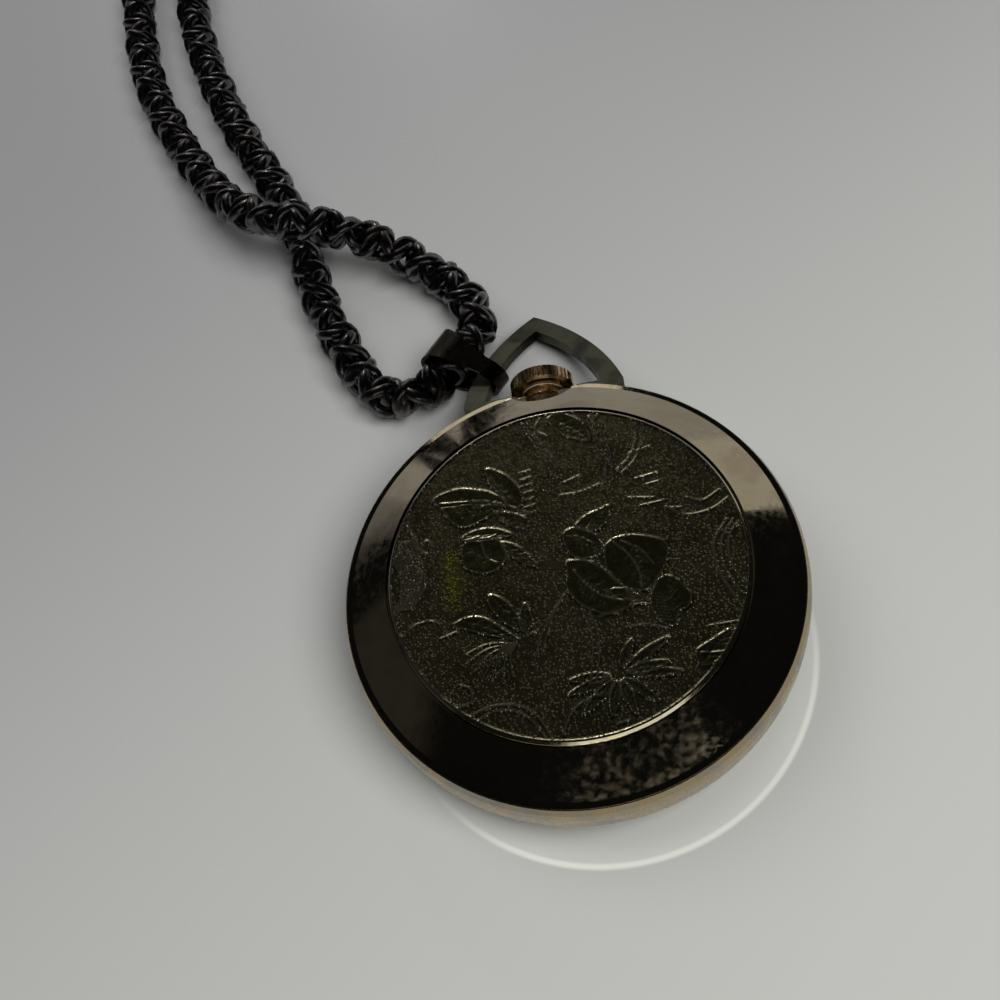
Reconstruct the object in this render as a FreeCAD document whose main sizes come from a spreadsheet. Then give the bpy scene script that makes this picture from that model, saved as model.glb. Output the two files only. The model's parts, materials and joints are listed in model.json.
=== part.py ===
import FreeCAD, Part
import math
import os
import Sketcher

# Pendant watch lying face down: millimetres, +Z up, +Y towards twelve o'clock.
# The origin is the centre of the crystal's flat front face, which rests on the table.

Vector = FreeCAD.Vector

SIZES = [
    # Case
    ("case_radius", 19.0, "widest radius of the case band"),
    ("case_wall", 2.1, "thickness of the case band"),
    ("case_bore_radius", "case_radius - case_wall", "inside radius of the case band"),
    ("band_bottom", 2.6, "height of the joint between bezel and band"),
    ("band_top", 7.0, "height of the joint between band and back cover"),
    ("band_edge_inset", 0.4, "how far the band's edges are rounded in"),
    ("seam_depth", 0.5, "how far the back's rim stands inside the band"),
    ("snap_gap", 0.05, "clearance of the snap lips in the band"),
    ("snap_wall", 0.55, "thickness of the snap lips"),
    ("snap_depth", 1.1, "how far the snap lips reach into the band"),
    ("bevel_inset", 0.95, "how far the bevel's outer edge stands inside the case"),
    ("bevel_radius", "case_radius - bevel_inset", "outer radius of the polished bevel"),
    ("bevel_width", 3.6, "width of the polished bevel, seen from above"),
    ("bevel_edge", 0.25, "height of the bevel's outer edge over the band"),
    ("bevel_bottom", "band_top + bevel_edge", "height of the bevel's outer edge"),
    ("back_wall", 0.75, "thickness of the back cover"),
    ("back_height", 9.6, "height of the bevel's inner edge"),
    ("disc_radius", "bevel_radius - bevel_width", "radius of the engraved disc"),
    ("disc_gap", 0.12, "gap round the engraved disc"),
    ("disc_thick", 0.65, "thickness of the engraved disc"),
    ("disc_proud", 0.15, "how far the disc stands above the bevel"),
    ("flat_depth", 0.95, "depth of the flat under the bow"),
    ("top_flat", "case_radius - flat_depth", "distance of that flat from the centre"),
    ("top_flat_half", 6.2, "half the width of that flat"),
    ("scallop_radius", 3.2, "radius of the bite in the back cover at the crown"),
    ("scallop_depth", 2.5, "how far that bite reaches into the case"),
    ("scallop_floor", "case_radius - scallop_depth", "distance of the bite's floor from the centre"),
    # Bezel and crystal
    ("crystal_inset", 3.7, "how far the crystal's seat stands inside the case"),
    ("crystal_radius", "case_radius - crystal_inset", "radius of the crystal's seat"),
    ("crystal_bevel", 1.4, "width of the crystal's slanting edge"),
    ("crystal_face", "crystal_radius - crystal_bevel", "radius of the crystal's flat front"),
    ("crystal_thick", 1.1, "thickness of the crystal"),
    ("crystal_edge", 0.5, "height where the crystal's dome meets its rim"),
    ("gasket_wall", 0.25, "thickness of the crystal's gasket"),
    ("bezel_lip", 0.45, "height of the bezel's front edge"),
    ("bezel_inset", 2.7, "how far the bezel's front edge stands inside the case"),
    ("bezel_front", "case_radius - bezel_inset", "radius of the bezel's front edge"),
    ("shoulder_inset", 1.1, "how far the bezel's shoulder stands inside the case"),
    ("bezel_shoulder", "case_radius - shoulder_inset", "radius of the bezel's rounded shoulder"),
    ("bezel_shoulder_height", 1.4, "height of the bezel's rounded shoulder"),
    ("crystal_ledge", 0.8, "width of the ledge under the crystal"),
    ("rehaut_radius", "crystal_radius - crystal_ledge", "inside radius of that ledge"),
    # Dial side
    ("dial_overlap", 0.6, "how far the dial reaches under the ledge"),
    ("dial_radius", "rehaut_radius + dial_overlap", "radius of the dial"),
    ("dial_bottom", 2.3, "height of the dial's face"),
    ("dial_thick", 0.35, "thickness of the dial"),
    ("dial_hole", 1.05, "radius of the dial's centre hole"),
    ("marker_inset", 3.5, "how far the hour markers start inside the dial's edge"),
    ("marker_radius", "dial_radius - marker_inset", "distance of the hour markers from the centre"),
    ("marker_length", 2.2, "length of an hour marker"),
    ("marker_width", 0.55, "width of an hour marker"),
    ("marker_thick", 0.15, "thickness of an hour marker"),
    ("hand_thick", 0.15, "thickness of a hand"),
    ("hand_width", 0.9, "widest width of a hand"),
    ("minute_hand_length", 11.3, "length of the minute hand"),
    ("hour_hand_length", 7.6, "length of the hour hand"),
    ("minute_hand_height", 1.45, "height of the minute hand"),
    ("hour_hand_height", 1.8, "height of the hour hand"),
    # Movement
    ("plate_radius", 13.0, "radius of the mainplate"),
    ("plate_bottom", 3.45, "height of the mainplate's dial side"),
    ("plate_floor", 0.5, "thickness of the mainplate's floor"),
    ("plate_rim", 0.9, "width of the mainplate's raised rim"),
    ("rim_top", 5.85, "height of the rim that carries the bridges"),
    ("bridge_thick", 0.8, "thickness of the bridges"),
    ("bridge_gap", 0.25, "gap between neighbouring bridges"),
    ("recess_depth", 0.35, "depth of the winding wheels' recess"),
    ("ring_gap", 0.05, "clearance of the movement in its ring"),
    ("screw_radius", 0.35, "radius of the bridge screws"),
    ("screw_head", 0.62, "radius of a screw's head"),
    ("screw_head_thick", 0.25, "thickness of a screw's head"),
    ("screw_inset", 0.45, "how far the bridge screws stand inside the plate's edge"),
    ("screw_circle", "plate_radius - screw_inset", "distance of the bridge screws from the centre"),
    ("pivot_gap", 0.03, "running clearance of a pivot"),
    ("jewel_radius", 0.55, "outer radius of a jewel"),
    ("jewel_thick", 0.3, "thickness of a jewel"),
    ("pivot_radius", 0.15, "radius of a wheel's pivot"),
    ("arbor_radius", 0.28, "radius of a wheel's arbor"),
    ("wheel_thick", 0.2, "thickness of a train wheel"),
    ("barrel_module", 0.15, "module of barrel and centre pinion"),
    ("centre_module", 0.13, "module of centre wheel and third pinion"),
    ("third_module", 0.11, "module of third wheel and fourth pinion"),
    ("fourth_module", 0.09, "module of fourth wheel and escape pinion"),
    ("winding_module", 0.16, "module of the winding wheels"),
    ("motion_module", 0.14, "module of the wheels under the dial"),
    ("barrel_height", 1.15, "height of the barrel"),
    ("barrel_wall", 0.25, "wall of the barrel"),
    ("train_gap", 0.05, "gap above the mainplate's floor"),
    ("lower_wheel", 4.25, "height of the third and escape wheels"),
    ("middle_wheel", 4.7, "height of the fourth wheel"),
    ("upper_wheel", 5.25, "height of the centre wheel"),
    ("escape_radius", 2.35, "radius of the escape wheel"),
    ("balance_radius", 3.5, "radius of the balance wheel over its screws"),
    ("balance_rim", 0.5, "width of the balance wheel's rim"),
    ("balance_height", 5.28, "height of the balance wheel"),
    ("balance_thick", 0.3, "thickness of the balance wheel"),
    ("hairspring_height", 5.75, "height of the hairspring"),
    ("hairspring_radius", 2.5, "outer radius of the hairspring"),
    ("cock_bottom", 6.1, "height of the balance cock's underside"),
    ("cock_thick", 0.6, "thickness of the balance cock"),
    # Crown and stem
    ("stem_height", 4.65, "height of the winding stem's axis"),
    ("stem_radius", 0.6, "radius of the winding stem"),
    ("stem_gap", 0.06, "running clearance round the stem"),
    ("stem_inner", 5.9, "distance of the stem's inner end from the centre"),
    ("winding_pinion_radius", 1.62, "radius of the winding pinion"),
    ("sliding_pinion_radius", 1.18, "radius of the sliding pinion"),
    ("neck_flange", 2.75, "radius of the pendant neck's flange"),
    ("neck_radius", 1.9, "radius of the pendant neck under the crown"),
    ("neck_height", 0.25, "how far the neck's shoulder stands outside the case"),
    ("neck_end", "case_radius + neck_height", "distance of the neck's shoulder from the centre"),
    ("neck_tube", 1.2, "radius of the neck's tube inside the crown"),
    ("neck_tube_length", 0.45, "length of that tube"),
    ("neck_tube_end", "neck_end + neck_tube_length", "distance of that tube's end"),
    ("crown_radius", 2.85, "radius of the crown"),
    ("crown_gap", 0.17, "gap between the neck's shoulder and the crown"),
    ("crown_front", "neck_end + crown_gap", "distance of the crown's inner face from the centre"),
    ("crown_recess", 0.93, "depth of the crown's recess over the neck's tube"),
    ("crown_length", 1.45, "length of the crown's fluted band"),
    ("crown_dome", 0.45, "height of the crown's domed end"),
    ("crown_flute", 0.1, "depth of the crown's flutes"),
    ("crown_pull", 0.9, "travel of the crown to the hand-setting place"),
    # Bow and bail
    ("pivot_inset", 0.08, "how far the bow's pivots stand inside the case's radius"),
    ("pivot_distance", "case_radius - pivot_inset", "distance of the bow's pivots from the centre"),
    ("bow_droop", 18.8, "degrees that the bow hangs down to the table"),
    ("bow_thick", 1.0, "thickness of the bow's strap"),
    ("bow_half_width", 7.3, "half the bow's outer width"),
    ("bow_length", 12.3, "length of the bow from its pivots"),
    ("bow_strap", 1.75, "width of the bow's strap along its sides"),
    ("bow_point", 2.4, "depth of the strap at the bow's point"),
    ("bow_foot_end", 3.1, "distance of the bow's feet from the middle"),
    ("bow_foot_half", 0.58, "half the width of the bow's feet"),
    ("bow_bulge_radius", 20.5, "radius of the bow's bulging sides"),
    ("bow_inner_bulge", 16.3, "radius of the bow's sides inside"),
    ("bow_pin_radius", 0.38, "radius of the bow's pins"),
    ("bow_pin_end", 1.45, "distance of the pins' tips from the middle"),
    ("bow_pin_gap", 0.04, "running clearance of the bow's pins"),
    ("bail_thick", 0.35, "thickness of the bail's strip"),
    ("bail_wide", 3.8, "width of the bail at the chain"),
    ("bail_narrow", 1.7, "width of the bail at the bow"),
    # Chain
    ("chain_diameter", 4.2, "outer diameter of the rope chain"),
    ("coil_radius", 26.4, "radius of the chain coil's outer turn"),
    ("coil_step", 4.75, "how much a turn of the coil lies inside the last"),
    ("coil_layer", 4.75, "height from one layer of the coil to the next"),
    ("coil_x", -13.6, "place of the coil's centre across"),
    ("coil_y", 128.0, "place of the coil's centre along"),
    ("ring_radius", 2.6, "radius of the end ring"),
    ("ring_wire", 0.8, "wire of the clasp and end ring"),
]

BARREL_TEETH = 72
CENTRE_LEAVES = 12
CENTRE_TEETH = 64
THIRD_LEAVES = 8
THIRD_TEETH = 60
FOURTH_LEAVES = 8
FOURTH_TEETH = 70
ESCAPE_LEAVES = 7
ESCAPE_TEETH = 15
RATCHET_TEETH = 54
CROWN_WHEEL_TEETH = 39
CANNON_LEAVES = 12
MINUTE_TEETH = 36
MINUTE_LEAVES = 10
HOUR_TEETH = 40
WINDING_TEETH = 18
CROWN_FLUTES = 40

DEGREES_PER_TURN = 360.0


class Size:
    """A length that knows its number and the sheet expression that gives it."""

    def __init__(self, number, text):
        self.number = number
        self.text = text

    def join(self, other, sign, number):
        text = other.text if isinstance(other, Size) else repr(float(other))
        return Size(number, f"({self.text} {sign} {text})")

    def __float__(self):
        return float(self.number)

    def __add__(self, other):
        return self.join(other, "+", self.number + float(other))

    def __sub__(self, other):
        return self.join(other, "-", self.number - float(other))

    def __mul__(self, other):
        return self.join(other, "*", self.number * float(other))

    def __truediv__(self, other):
        return self.join(other, "/", self.number / float(other))

    def __neg__(self):
        return Size(-self.number, f"(0 - {self.text})")

    __radd__ = __add__
    __rmul__ = __mul__

    def __rsub__(self, other):
        return Size(float(other) - self.number, f"({float(other)!r} - {self.text})")


class Sizes:
    """The driving dimensions, kept in the document's sheet."""

    def __init__(self, document, rows):
        self.sheet = document.addObject("Spreadsheet::Sheet", "Sizes")
        for line, (alias, value, note) in enumerate(rows, start=1):
            self.sheet.set(f"A{line}", note)
            self.sheet.set(f"B{line}", f"={value}")
            self.sheet.setAlias(f"B{line}", alias)
        document.recompute()
        self.numbers = {alias: float(self.sheet.get(alias)) for alias, _, _ in rows}

    def __getattr__(self, alias):
        return Size(self.numbers[alias], f"Sizes.{alias}")


doc = FreeCAD.newDocument("PendantWatch")
S = Sizes(doc, SIZES)
nodes = {}
cuts_to_check = []


# Helpers that tie shapes to the sheet

def bind(thing, path, size):
    """Tie a property to the sheet; a plain number is set as it is."""
    text = size.text if isinstance(size, Size) else repr(float(size))
    thing.setExpression(path, text)


def place(thing, at):
    for axis, size in zip("xyz", at):
        if isinstance(size, Size) or size != 0:
            bind(thing, f"Placement.Base.{axis}", size)


def polar(radius, degrees):
    angle = math.radians(degrees)
    return radius * math.cos(angle), radius * math.sin(angle)


def arc_middle(start, end, radius):
    """Middle of an arc between two points; a positive radius bulges to the right of the way."""
    sx, sy, ex, ey = (float(v) for v in (*start, *end))
    half = math.hypot(ex - sx, ey - sy) / 2
    size = abs(float(radius))
    sagitta = size - math.sqrt(max(size * size - half * half, 0.0))
    side = math.copysign(sagitta, float(radius)) / (2 * half)
    return (sx + ex) / 2 + side * (ey - sy), (sy + ey) / 2 - side * (ex - sx)


def pin_point(sketch, shape, point, at):
    """Fix a sketch point at a place that the sheet gives."""
    for kind, axis, size in (("DistanceX", -2, at[0]), ("DistanceY", -1, at[1])):
        if abs(float(size)) < 1e-9:
            sketch.addConstraint(Sketcher.Constraint("PointOnObject", shape, point, axis))
            continue
        rule = Sketcher.Constraint(kind, -1, 1, shape, point, float(size))
        index = sketch.addConstraint(rule)
        bind(sketch, f"Constraints[{index}]", size)


def draw_outline(sketch, corners):
    """Draw a closed outline; a corner is (x, y) or (x, y, radius of the arc that starts there)."""
    first = sketch.GeometryCount
    total = len(corners)
    for number, corner in enumerate(corners):
        after = corners[(number + 1) % total]
        start = Vector(float(corner[0]), float(corner[1]), 0)
        end = Vector(float(after[0]), float(after[1]), 0)
        if len(corner) == 2:
            sketch.addGeometry(Part.LineSegment(start, end), False)
            continue
        middle = Vector(*arc_middle(corner[:2], after[:2], corner[2]), 0)
        if float(corner[2]) < 0:
            start, end = end, start
        sketch.addGeometry(Part.Arc(start, middle, end), False)
    for number, corner in enumerate(corners):
        after_shape = first + (number + 1) % total
        tail = 2 if end_is_second(sketch, first + number, corner) else 1
        head = 1 if end_is_second(sketch, after_shape, corners[(number + 1) % total]) else 2
        meeting = Sketcher.Constraint("Coincident", first + number, tail, after_shape, head)
        sketch.addConstraint(meeting)
    for number, corner in enumerate(corners):
        point = 1 if end_is_second(sketch, first + number, corner) else 2
        pin_point(sketch, first + number, point, corner)
        if len(corner) == 3:
            radius = corner[2] if float(corner[2]) > 0 else -corner[2]
            index = sketch.addConstraint(
                Sketcher.Constraint("Radius", first + number, float(radius)))
            bind(sketch, f"Constraints[{index}]", radius)


def end_is_second(sketch, shape, corner):
    """Tell whether a drawn edge starts at its corner; arcs always run anticlockwise."""
    start = sketch.Geometry[shape].StartPoint
    return start.distanceToPoint(Vector(float(corner[0]), float(corner[1]), 0)) < 1e-6


def draw_circle(sketch, x, y, radius):
    centre = Vector(float(x), float(y), 0)
    shape = sketch.addGeometry(Part.Circle(centre, Vector(0, 0, 1), float(radius)), False)
    index = sketch.addConstraint(Sketcher.Constraint("Radius", shape, float(radius)))
    bind(sketch, f"Constraints[{index}]", radius)
    pin_point(sketch, shape, 3, (x, y))


def new_body(name, plane):
    body = doc.addObject("PartDesign::Body", name)
    body.Label = name
    sketch = body.newObject("Sketcher::SketchObject", name + "_sketch")
    origin_plane = [p for p in body.Origin.OriginFeatures if p.Role == plane][0]
    sketch.AttachmentSupport = [(origin_plane, "")]
    sketch.MapMode = "FlatFace"
    return body, sketch


def turned(name, corners, axis="z", at=(0, 0, 0)):
    """Turn a closed profile of (radius, length) corners about an axis; for x it is (length, radius)."""
    body, sketch = new_body(name, "XZ_Plane" if axis == "z" else "XY_Plane")
    draw_outline(sketch, corners)
    turn = body.newObject("PartDesign::Revolution", name + "_turn")
    turn.Profile = sketch
    turn.ReferenceAxis = (sketch, ["H_Axis" if axis == "x" else "V_Axis"])
    turn.Angle = DEGREES_PER_TURN
    place(body, at)
    nodes[name] = body
    return body


def slab(name, corners, low, thick, holes=(), at=(0, 0)):
    """Pad a flat outline, with round holes of (x, y, radius); without corners the first hole is the rim."""
    body, sketch = new_body(name, "XY_Plane")
    if corners:
        draw_outline(sketch, corners)
    for hole in holes:
        draw_circle(sketch, *hole)
    pad = body.newObject("PartDesign::Pad", name + "_pad")
    pad.Profile = sketch
    bind(pad, "Length", thick)
    place(body, (*at, low))
    nodes[name] = body
    return body


def rod(radius, length, at, axis="z"):
    """A cylinder used as a tool; its axis starts at the given place."""
    tool = doc.addObject("Part::Cylinder", "rod")
    bind(tool, "Radius", radius)
    bind(tool, "Height", length)
    if axis == "y":
        tool.Placement.Rotation = FreeCAD.Rotation(Vector(1, 0, 0), -90)
    if axis == "x":
        tool.Placement.Rotation = FreeCAD.Rotation(Vector(0, 1, 0), 90)
    place(tool, at)
    return tool


def block(size, at):
    """A box used as a tool; its lowest corner is at the given place."""
    tool = doc.addObject("Part::Box", "block")
    for path, length in zip(("Length", "Width", "Height"), size):
        bind(tool, path, length)
    place(tool, at)
    return tool


def combine(kind, name, base, tool):
    result = doc.addObject(kind, name + "_" + kind[6:].lower())
    result.Base = base
    result.Tool = tool
    nodes[name] = result
    return result


def cut(name, *tools):
    """Cut tools out of a node, one after another."""
    for tool in tools:
        before = nodes[name]
        cuts_to_check.append((name, before, combine("Part::Cut", name, before, tool)))


def merged(first, second):
    """Two tools as one, for an opening that both make together."""
    both = doc.addObject("Part::Fuse", "opening")
    both.Base = first
    both.Tool = second
    return both


def join(name, *tools):
    for tool in tools:
        combine("Part::Fuse", name, nodes[name], tool)


def solid(name, shape, at=(0, 0, 0)):
    """A sub-part whose shape comes from a formula."""
    feature = doc.addObject("Part::Feature", name)
    feature.Label = name
    feature.Shape = shape
    place(feature, at)
    nodes[name] = feature
    return feature


# Shapes that come from a formula

def toothed(teeth, module, thick, phase=0.0):
    """A gear with straight-flanked teeth; one tooth's middle is at the phase, in radians."""
    pitch_radius = float(module) * teeth / 2
    root = pitch_radius - 1.05 * float(module)
    tip = pitch_radius + 0.8 * float(module)
    pitch = 2 * math.pi / teeth
    points = []
    for tooth in range(teeth):
        middle = phase + tooth * pitch
        for radius, offset in ((root, -0.28), (tip, -0.1), (tip, 0.1), (root, 0.28)):
            angle = middle + offset * pitch
            points.append(Vector(radius * math.cos(angle), radius * math.sin(angle), 0))
    wire = Part.makePolygon(points + points[:1])
    return Part.Face(wire).extrude(Vector(0, 0, float(thick)))


def disc_shape(radius, low, high):
    return Part.makeCylinder(float(radius), float(high) - float(low), Vector(0, 0, float(low)))


def raised(shape, height):
    lifted = shape.copy()
    lifted.translate(Vector(0, 0, float(height)))
    return lifted


def spoke_windows(inner, outer, count, spoke, low, high):
    """Windows between spokes, as one shape to cut away."""
    ring = disc_shape(outer, low, high).cut(disc_shape(inner, low, high))
    bars = []
    for number in range(count):
        bar = Part.makeBox(float(outer) + 1, spoke, float(high) - float(low),
                           Vector(0, -spoke / 2, float(low)))
        bar.rotate(Vector(0, 0, 0), Vector(0, 0, 1), number * DEGREES_PER_TURN / count)
        bars.append(bar)
    return ring.cut(bars)


def mesh_phase(phase, teeth, other_teeth, direction):
    """Phase of a gear whose gaps meet the first gear's teeth; direction points at it, in radians."""
    offset = phase - direction
    return direction + math.pi - offset * teeth / other_teeth - math.pi / other_teeth


def spiral_strip(inner, outer, turns, thick, height):
    """A flat spring: an Archimedean spiral strip stood on its edge."""
    steps = int(turns * 24)
    outside = []
    inside = []
    for step in range(steps + 1):
        share = step / steps
        angle = share * turns * 2 * math.pi
        radius = inner + (outer - inner) * share
        direction = Vector(math.cos(angle), math.sin(angle), 0)
        outside.append(direction * (radius + thick / 2))
        inside.append(direction * (radius - thick / 2))
    wire = Part.makePolygon(outside + inside[::-1] + outside[:1])
    return Part.Face(wire).extrude(Vector(0, 0, float(height)))


def corner_arc(start, corner, end):
    """The arc that touches both legs of a corner, and its radius; the legs are equally long."""
    turn = math.pi - (start - corner).getAngle(end - corner)
    radius = (start - corner).Length / math.tan(turn / 2)
    inward = (start - corner + end - corner).normalize()
    middle = corner + inward * (radius / math.cos(turn / 2) - radius)
    return Part.Arc(start, middle, end).toShape(), radius


def rounded_path(points):
    """Straight runs joined by tangent arcs as large as the runs allow; gives edges and radii."""
    points = [Vector(*p) for p in points]
    edges = []
    radii = []
    last = points[0]
    for before, corner, after in zip(points, points[1:], points[2:]):
        back = before - corner
        ahead = after - corner
        reach = 0.45 * min(back.Length, ahead.Length)
        start = corner + back.normalize() * reach
        end = corner + ahead.normalize() * reach
        arc, radius = corner_arc(start, corner, end)
        edges += [Part.LineSegment(last, start).toShape(), arc]
        radii.append(radius)
        last = end
    edges.append(Part.LineSegment(last, points[-1]).toShape())
    return edges, radii


def biarc(start, heading, end, end_heading):
    """Two arcs that leave one point and reach another in the given directions."""
    way = end - start
    along = way.dot(heading + end_heading)
    spread = 2 * (1 - heading.dot(end_heading))
    leg = (math.sqrt(along * along + spread * way.dot(way)) - along) / spread
    first = start + heading * leg
    second = end - end_heading * leg
    middle = (first + second) * 0.5
    return [corner_arc(start, first, middle)[0], corner_arc(middle, second, end)[0]]


def tube(edges, diameter):
    """Sweep a round section along a path that has no corners."""
    path = Part.Wire(edges)
    start = edges[0].valueAt(edges[0].FirstParameter)
    heading = edges[0].tangentAt(edges[0].FirstParameter)
    ring = Part.Wire([Part.makeCircle(float(diameter) / 2, start, heading)])
    shape = path.makePipeShell([ring], True, False)
    share = shape.Volume / (math.pi * (float(diameter) / 2) ** 2 * path.Length)
    return shape, path.Length, share


# Case

band = [
    (S.case_bore_radius, S.band_bottom),
    (S.case_radius - S.band_edge_inset, S.band_bottom),
    (S.case_radius - 0.08, S.band_bottom + 0.75),
    (S.case_radius, S.band_bottom + 1.6),
    (S.case_radius, S.band_top - 1.5),
    (S.case_radius - 0.12, S.band_top - 0.6),
    (S.case_radius - S.band_edge_inset, S.band_top),
    (S.case_bore_radius, S.band_top),
]
turned("case_band", band)


def top_flat_tool():
    """The flat at twelve o'clock that leaves room for the bow's feet."""
    return block((S.top_flat_half * 2, 3.0, S.back_height),
                 (-S.top_flat_half, S.top_flat, 0.0))


cut("case_band", top_flat_tool(),
    rod(S.neck_flange, 4.0, (0, S.case_bore_radius - 1.0, S.stem_height), "y"))

lip_outer = S.case_bore_radius - S.snap_gap
lip_inner = lip_outer - S.snap_wall
bevel_rise = S.back_height - S.bevel_bottom
recess_radius = S.disc_radius + S.disc_gap
recess_floor = S.back_height + S.disc_proud - S.disc_thick
back_cover = [
    (0, recess_floor),
    (recess_radius, recess_floor),
    (recess_radius, S.back_height),
    (S.bevel_radius, S.bevel_bottom),
    (S.case_radius - S.seam_depth, S.band_top + 0.12),
    (S.case_radius - S.seam_depth - 0.06, S.band_top),
    (lip_outer, S.band_top),
    (lip_outer, S.band_top - S.snap_depth),
    (lip_inner, S.band_top - S.snap_depth),
    (lip_inner, S.band_top + 0.25),
    (S.disc_radius - 0.9, recess_floor - S.back_wall),
    (0, recess_floor - S.back_wall),
]
turned("back_cover", back_cover)
cut("back_cover", top_flat_tool(),
    rod(S.scallop_radius, S.back_height,
        (0, S.scallop_floor + S.scallop_radius, S.band_top)))

engraved_disc = [
    (0, recess_floor),
    (S.disc_radius, recess_floor),
    (S.disc_radius, S.back_height),
    (S.disc_radius - S.disc_proud, S.back_height + S.disc_proud),
    (0, S.back_height + S.disc_proud),
]
turned("engraved_disc", engraved_disc)

gasket_outer = S.crystal_radius + S.gasket_wall
bezel = [
    (gasket_outer, S.bezel_lip),
    (S.bezel_front, S.bezel_lip),
    (S.bezel_shoulder, S.bezel_shoulder_height),
    (S.case_radius - S.band_edge_inset, S.band_bottom),
    (lip_outer, S.band_bottom),
    (lip_outer, S.band_bottom + 0.85),
    (lip_inner, S.band_bottom + 0.85),
    (lip_inner, S.dial_bottom),
    (S.rehaut_radius, S.dial_bottom),
    (S.rehaut_radius, S.crystal_thick),
    (gasket_outer, S.crystal_thick),
]
turned("front_bezel", bezel)
cut("front_bezel", top_flat_tool(),
    rod(S.neck_flange, 3.0, (0, S.case_bore_radius - 0.04, S.stem_height), "y"))

crystal = [
    (0, 0),
    (S.crystal_face, 0),
    (S.crystal_radius, S.crystal_edge),
    (S.crystal_radius, S.crystal_thick),
    (0, S.crystal_thick),
]
turned("crystal", crystal)

crystal_gasket = [
    (S.crystal_radius, S.bezel_lip + 0.1),
    (gasket_outer, S.bezel_lip + 0.1),
    (gasket_outer, S.crystal_thick),
    (S.crystal_radius, S.crystal_thick),
]
turned("crystal_gasket", crystal_gasket)

tube_bore = S.stem_radius + S.stem_gap
pendant_neck = [
    (tube_bore, S.case_bore_radius + 0.02),
    (S.neck_flange, S.case_bore_radius + 0.02),
    (S.neck_flange, S.top_flat - 0.4),
    (S.neck_radius + 0.25, S.top_flat + 0.3),
    (S.neck_radius, S.neck_end),
    (S.neck_tube, S.neck_end),
    (S.neck_tube, S.neck_tube_end),
    (tube_bore, S.neck_tube_end),
]
turned("pendant_neck", pendant_neck, "y", (0, 0, S.stem_height))
pin_hole = S.bow_pin_radius + S.bow_pin_gap
for side in (-1, 1):
    start = S.bow_pin_end - 0.1 if side > 0 else -S.neck_flange - 1.0
    reach = S.neck_flange + 1.1 - S.bow_pin_end
    cut("pendant_neck", rod(pin_hole, reach, (start, S.pivot_distance, S.stem_height), "x"))

# Movement ring, with the stem's way through it

ring_inner = S.plate_radius + S.ring_gap
dial_top = S.dial_bottom + S.dial_thick
movement_ring = [
    (ring_inner, dial_top),
    (S.dial_radius, dial_top),
    (S.dial_radius, S.band_bottom + 1.0),
    (lip_outer, S.band_bottom + 1.0),
    (lip_outer, S.rim_top),
    (ring_inner, S.rim_top),
]
turned("movement_ring", movement_ring)
lever_pin_top = S.stem_height - 0.45
notch_side = 1.4
notch_swing = 2.4
lever_notch = (notch_side + notch_swing, 1.3, lever_pin_top + 0.15 - dial_top)
cut("movement_ring",
    rod(tube_bore + 0.1, lip_outer - S.plate_radius + 2.0, (0, S.plate_radius - 1.0, S.stem_height), "y"),
    block(lever_notch, (-notch_side, S.plate_radius - 0.2, dial_top)))

# Dial with its markers and hands

slab("dial", [], S.dial_bottom, S.dial_thick, [(0, 0, S.dial_radius), (0, 0, S.dial_hole)])


def hour_markers():
    """Twelve flat batons round the dial, as separate solids."""
    markers = []
    for hour in range(12):
        baton = Part.makeBox(float(S.marker_width), float(S.marker_length), float(S.marker_thick),
                             Vector(-float(S.marker_width) / 2, float(S.marker_radius), 0))
        baton.rotate(Vector(0, 0, 0), Vector(0, 0, 1), hour * DEGREES_PER_TURN / 12)
        markers.append(baton)
    return Part.makeCompound(markers)


solid("hour_markers", hour_markers(), (0, 0, S.dial_bottom - S.marker_thick))

centre_tube = S.arbor_radius + S.pivot_gap
cannon_outer = centre_tube + 0.2
hour_pipe = cannon_outer + S.pivot_gap + 0.22


def hand(name, length, height, hole, degrees):
    """A tapered leaf hand round its pipe, turned from twelve o'clock towards +X."""
    width = S.hand_width
    hub = hole + 0.3
    corners = [
        (-width / 2, 0.0),
        (width / 2, 0.0),
        (width * 0.45, length * 0.35),
        (width * 0.5, length * 0.55),
        (0.0, length),
        (width * -0.5, length * 0.55),
        (width * -0.45, length * 0.35),
    ]
    slab(name, corners, height, S.hand_thick)
    join(name, rod(hub, S.hand_thick, (0, 0, height)))
    cut(name, rod(hole, S.hand_thick, (0, 0, height)))
    nodes[name].Placement = FreeCAD.Placement(
        Vector(0, 0, 0), FreeCAD.Rotation(Vector(0, 0, 1), -degrees))


MINUTE_HAND_DEGREES = -54.0
HOUR_HAND_DEGREES = 55.5
hand("minute_hand", S.minute_hand_length, S.minute_hand_height, cannon_outer, MINUTE_HAND_DEGREES)
hand("hour_hand", S.hour_hand_length, S.hour_hand_height, hour_pipe, HOUR_HAND_DEGREES)

# Places of the wheels, from their teeth and modules

def centre_distance(module, teeth, other_teeth):
    return module * ((teeth + other_teeth) / 2)


BARREL_DIRECTION = 150.0
THIRD_DIRECTION = -20.0
FOURTH_DIRECTION = -112.0
ESCAPE_DIRECTION = -150.0
MINUTE_DIRECTION = 60.0
SETTING_TEETH = 16
SETTING_DIRECTION = 95.0

barrel_at = polar(centre_distance(S.barrel_module, BARREL_TEETH, CENTRE_LEAVES), BARREL_DIRECTION)
third_at = polar(centre_distance(S.centre_module, CENTRE_TEETH, THIRD_LEAVES), THIRD_DIRECTION)


def step_from(at, distance, degrees):
    across, along = polar(distance, degrees)
    return at[0] + across, at[1] + along


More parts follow.
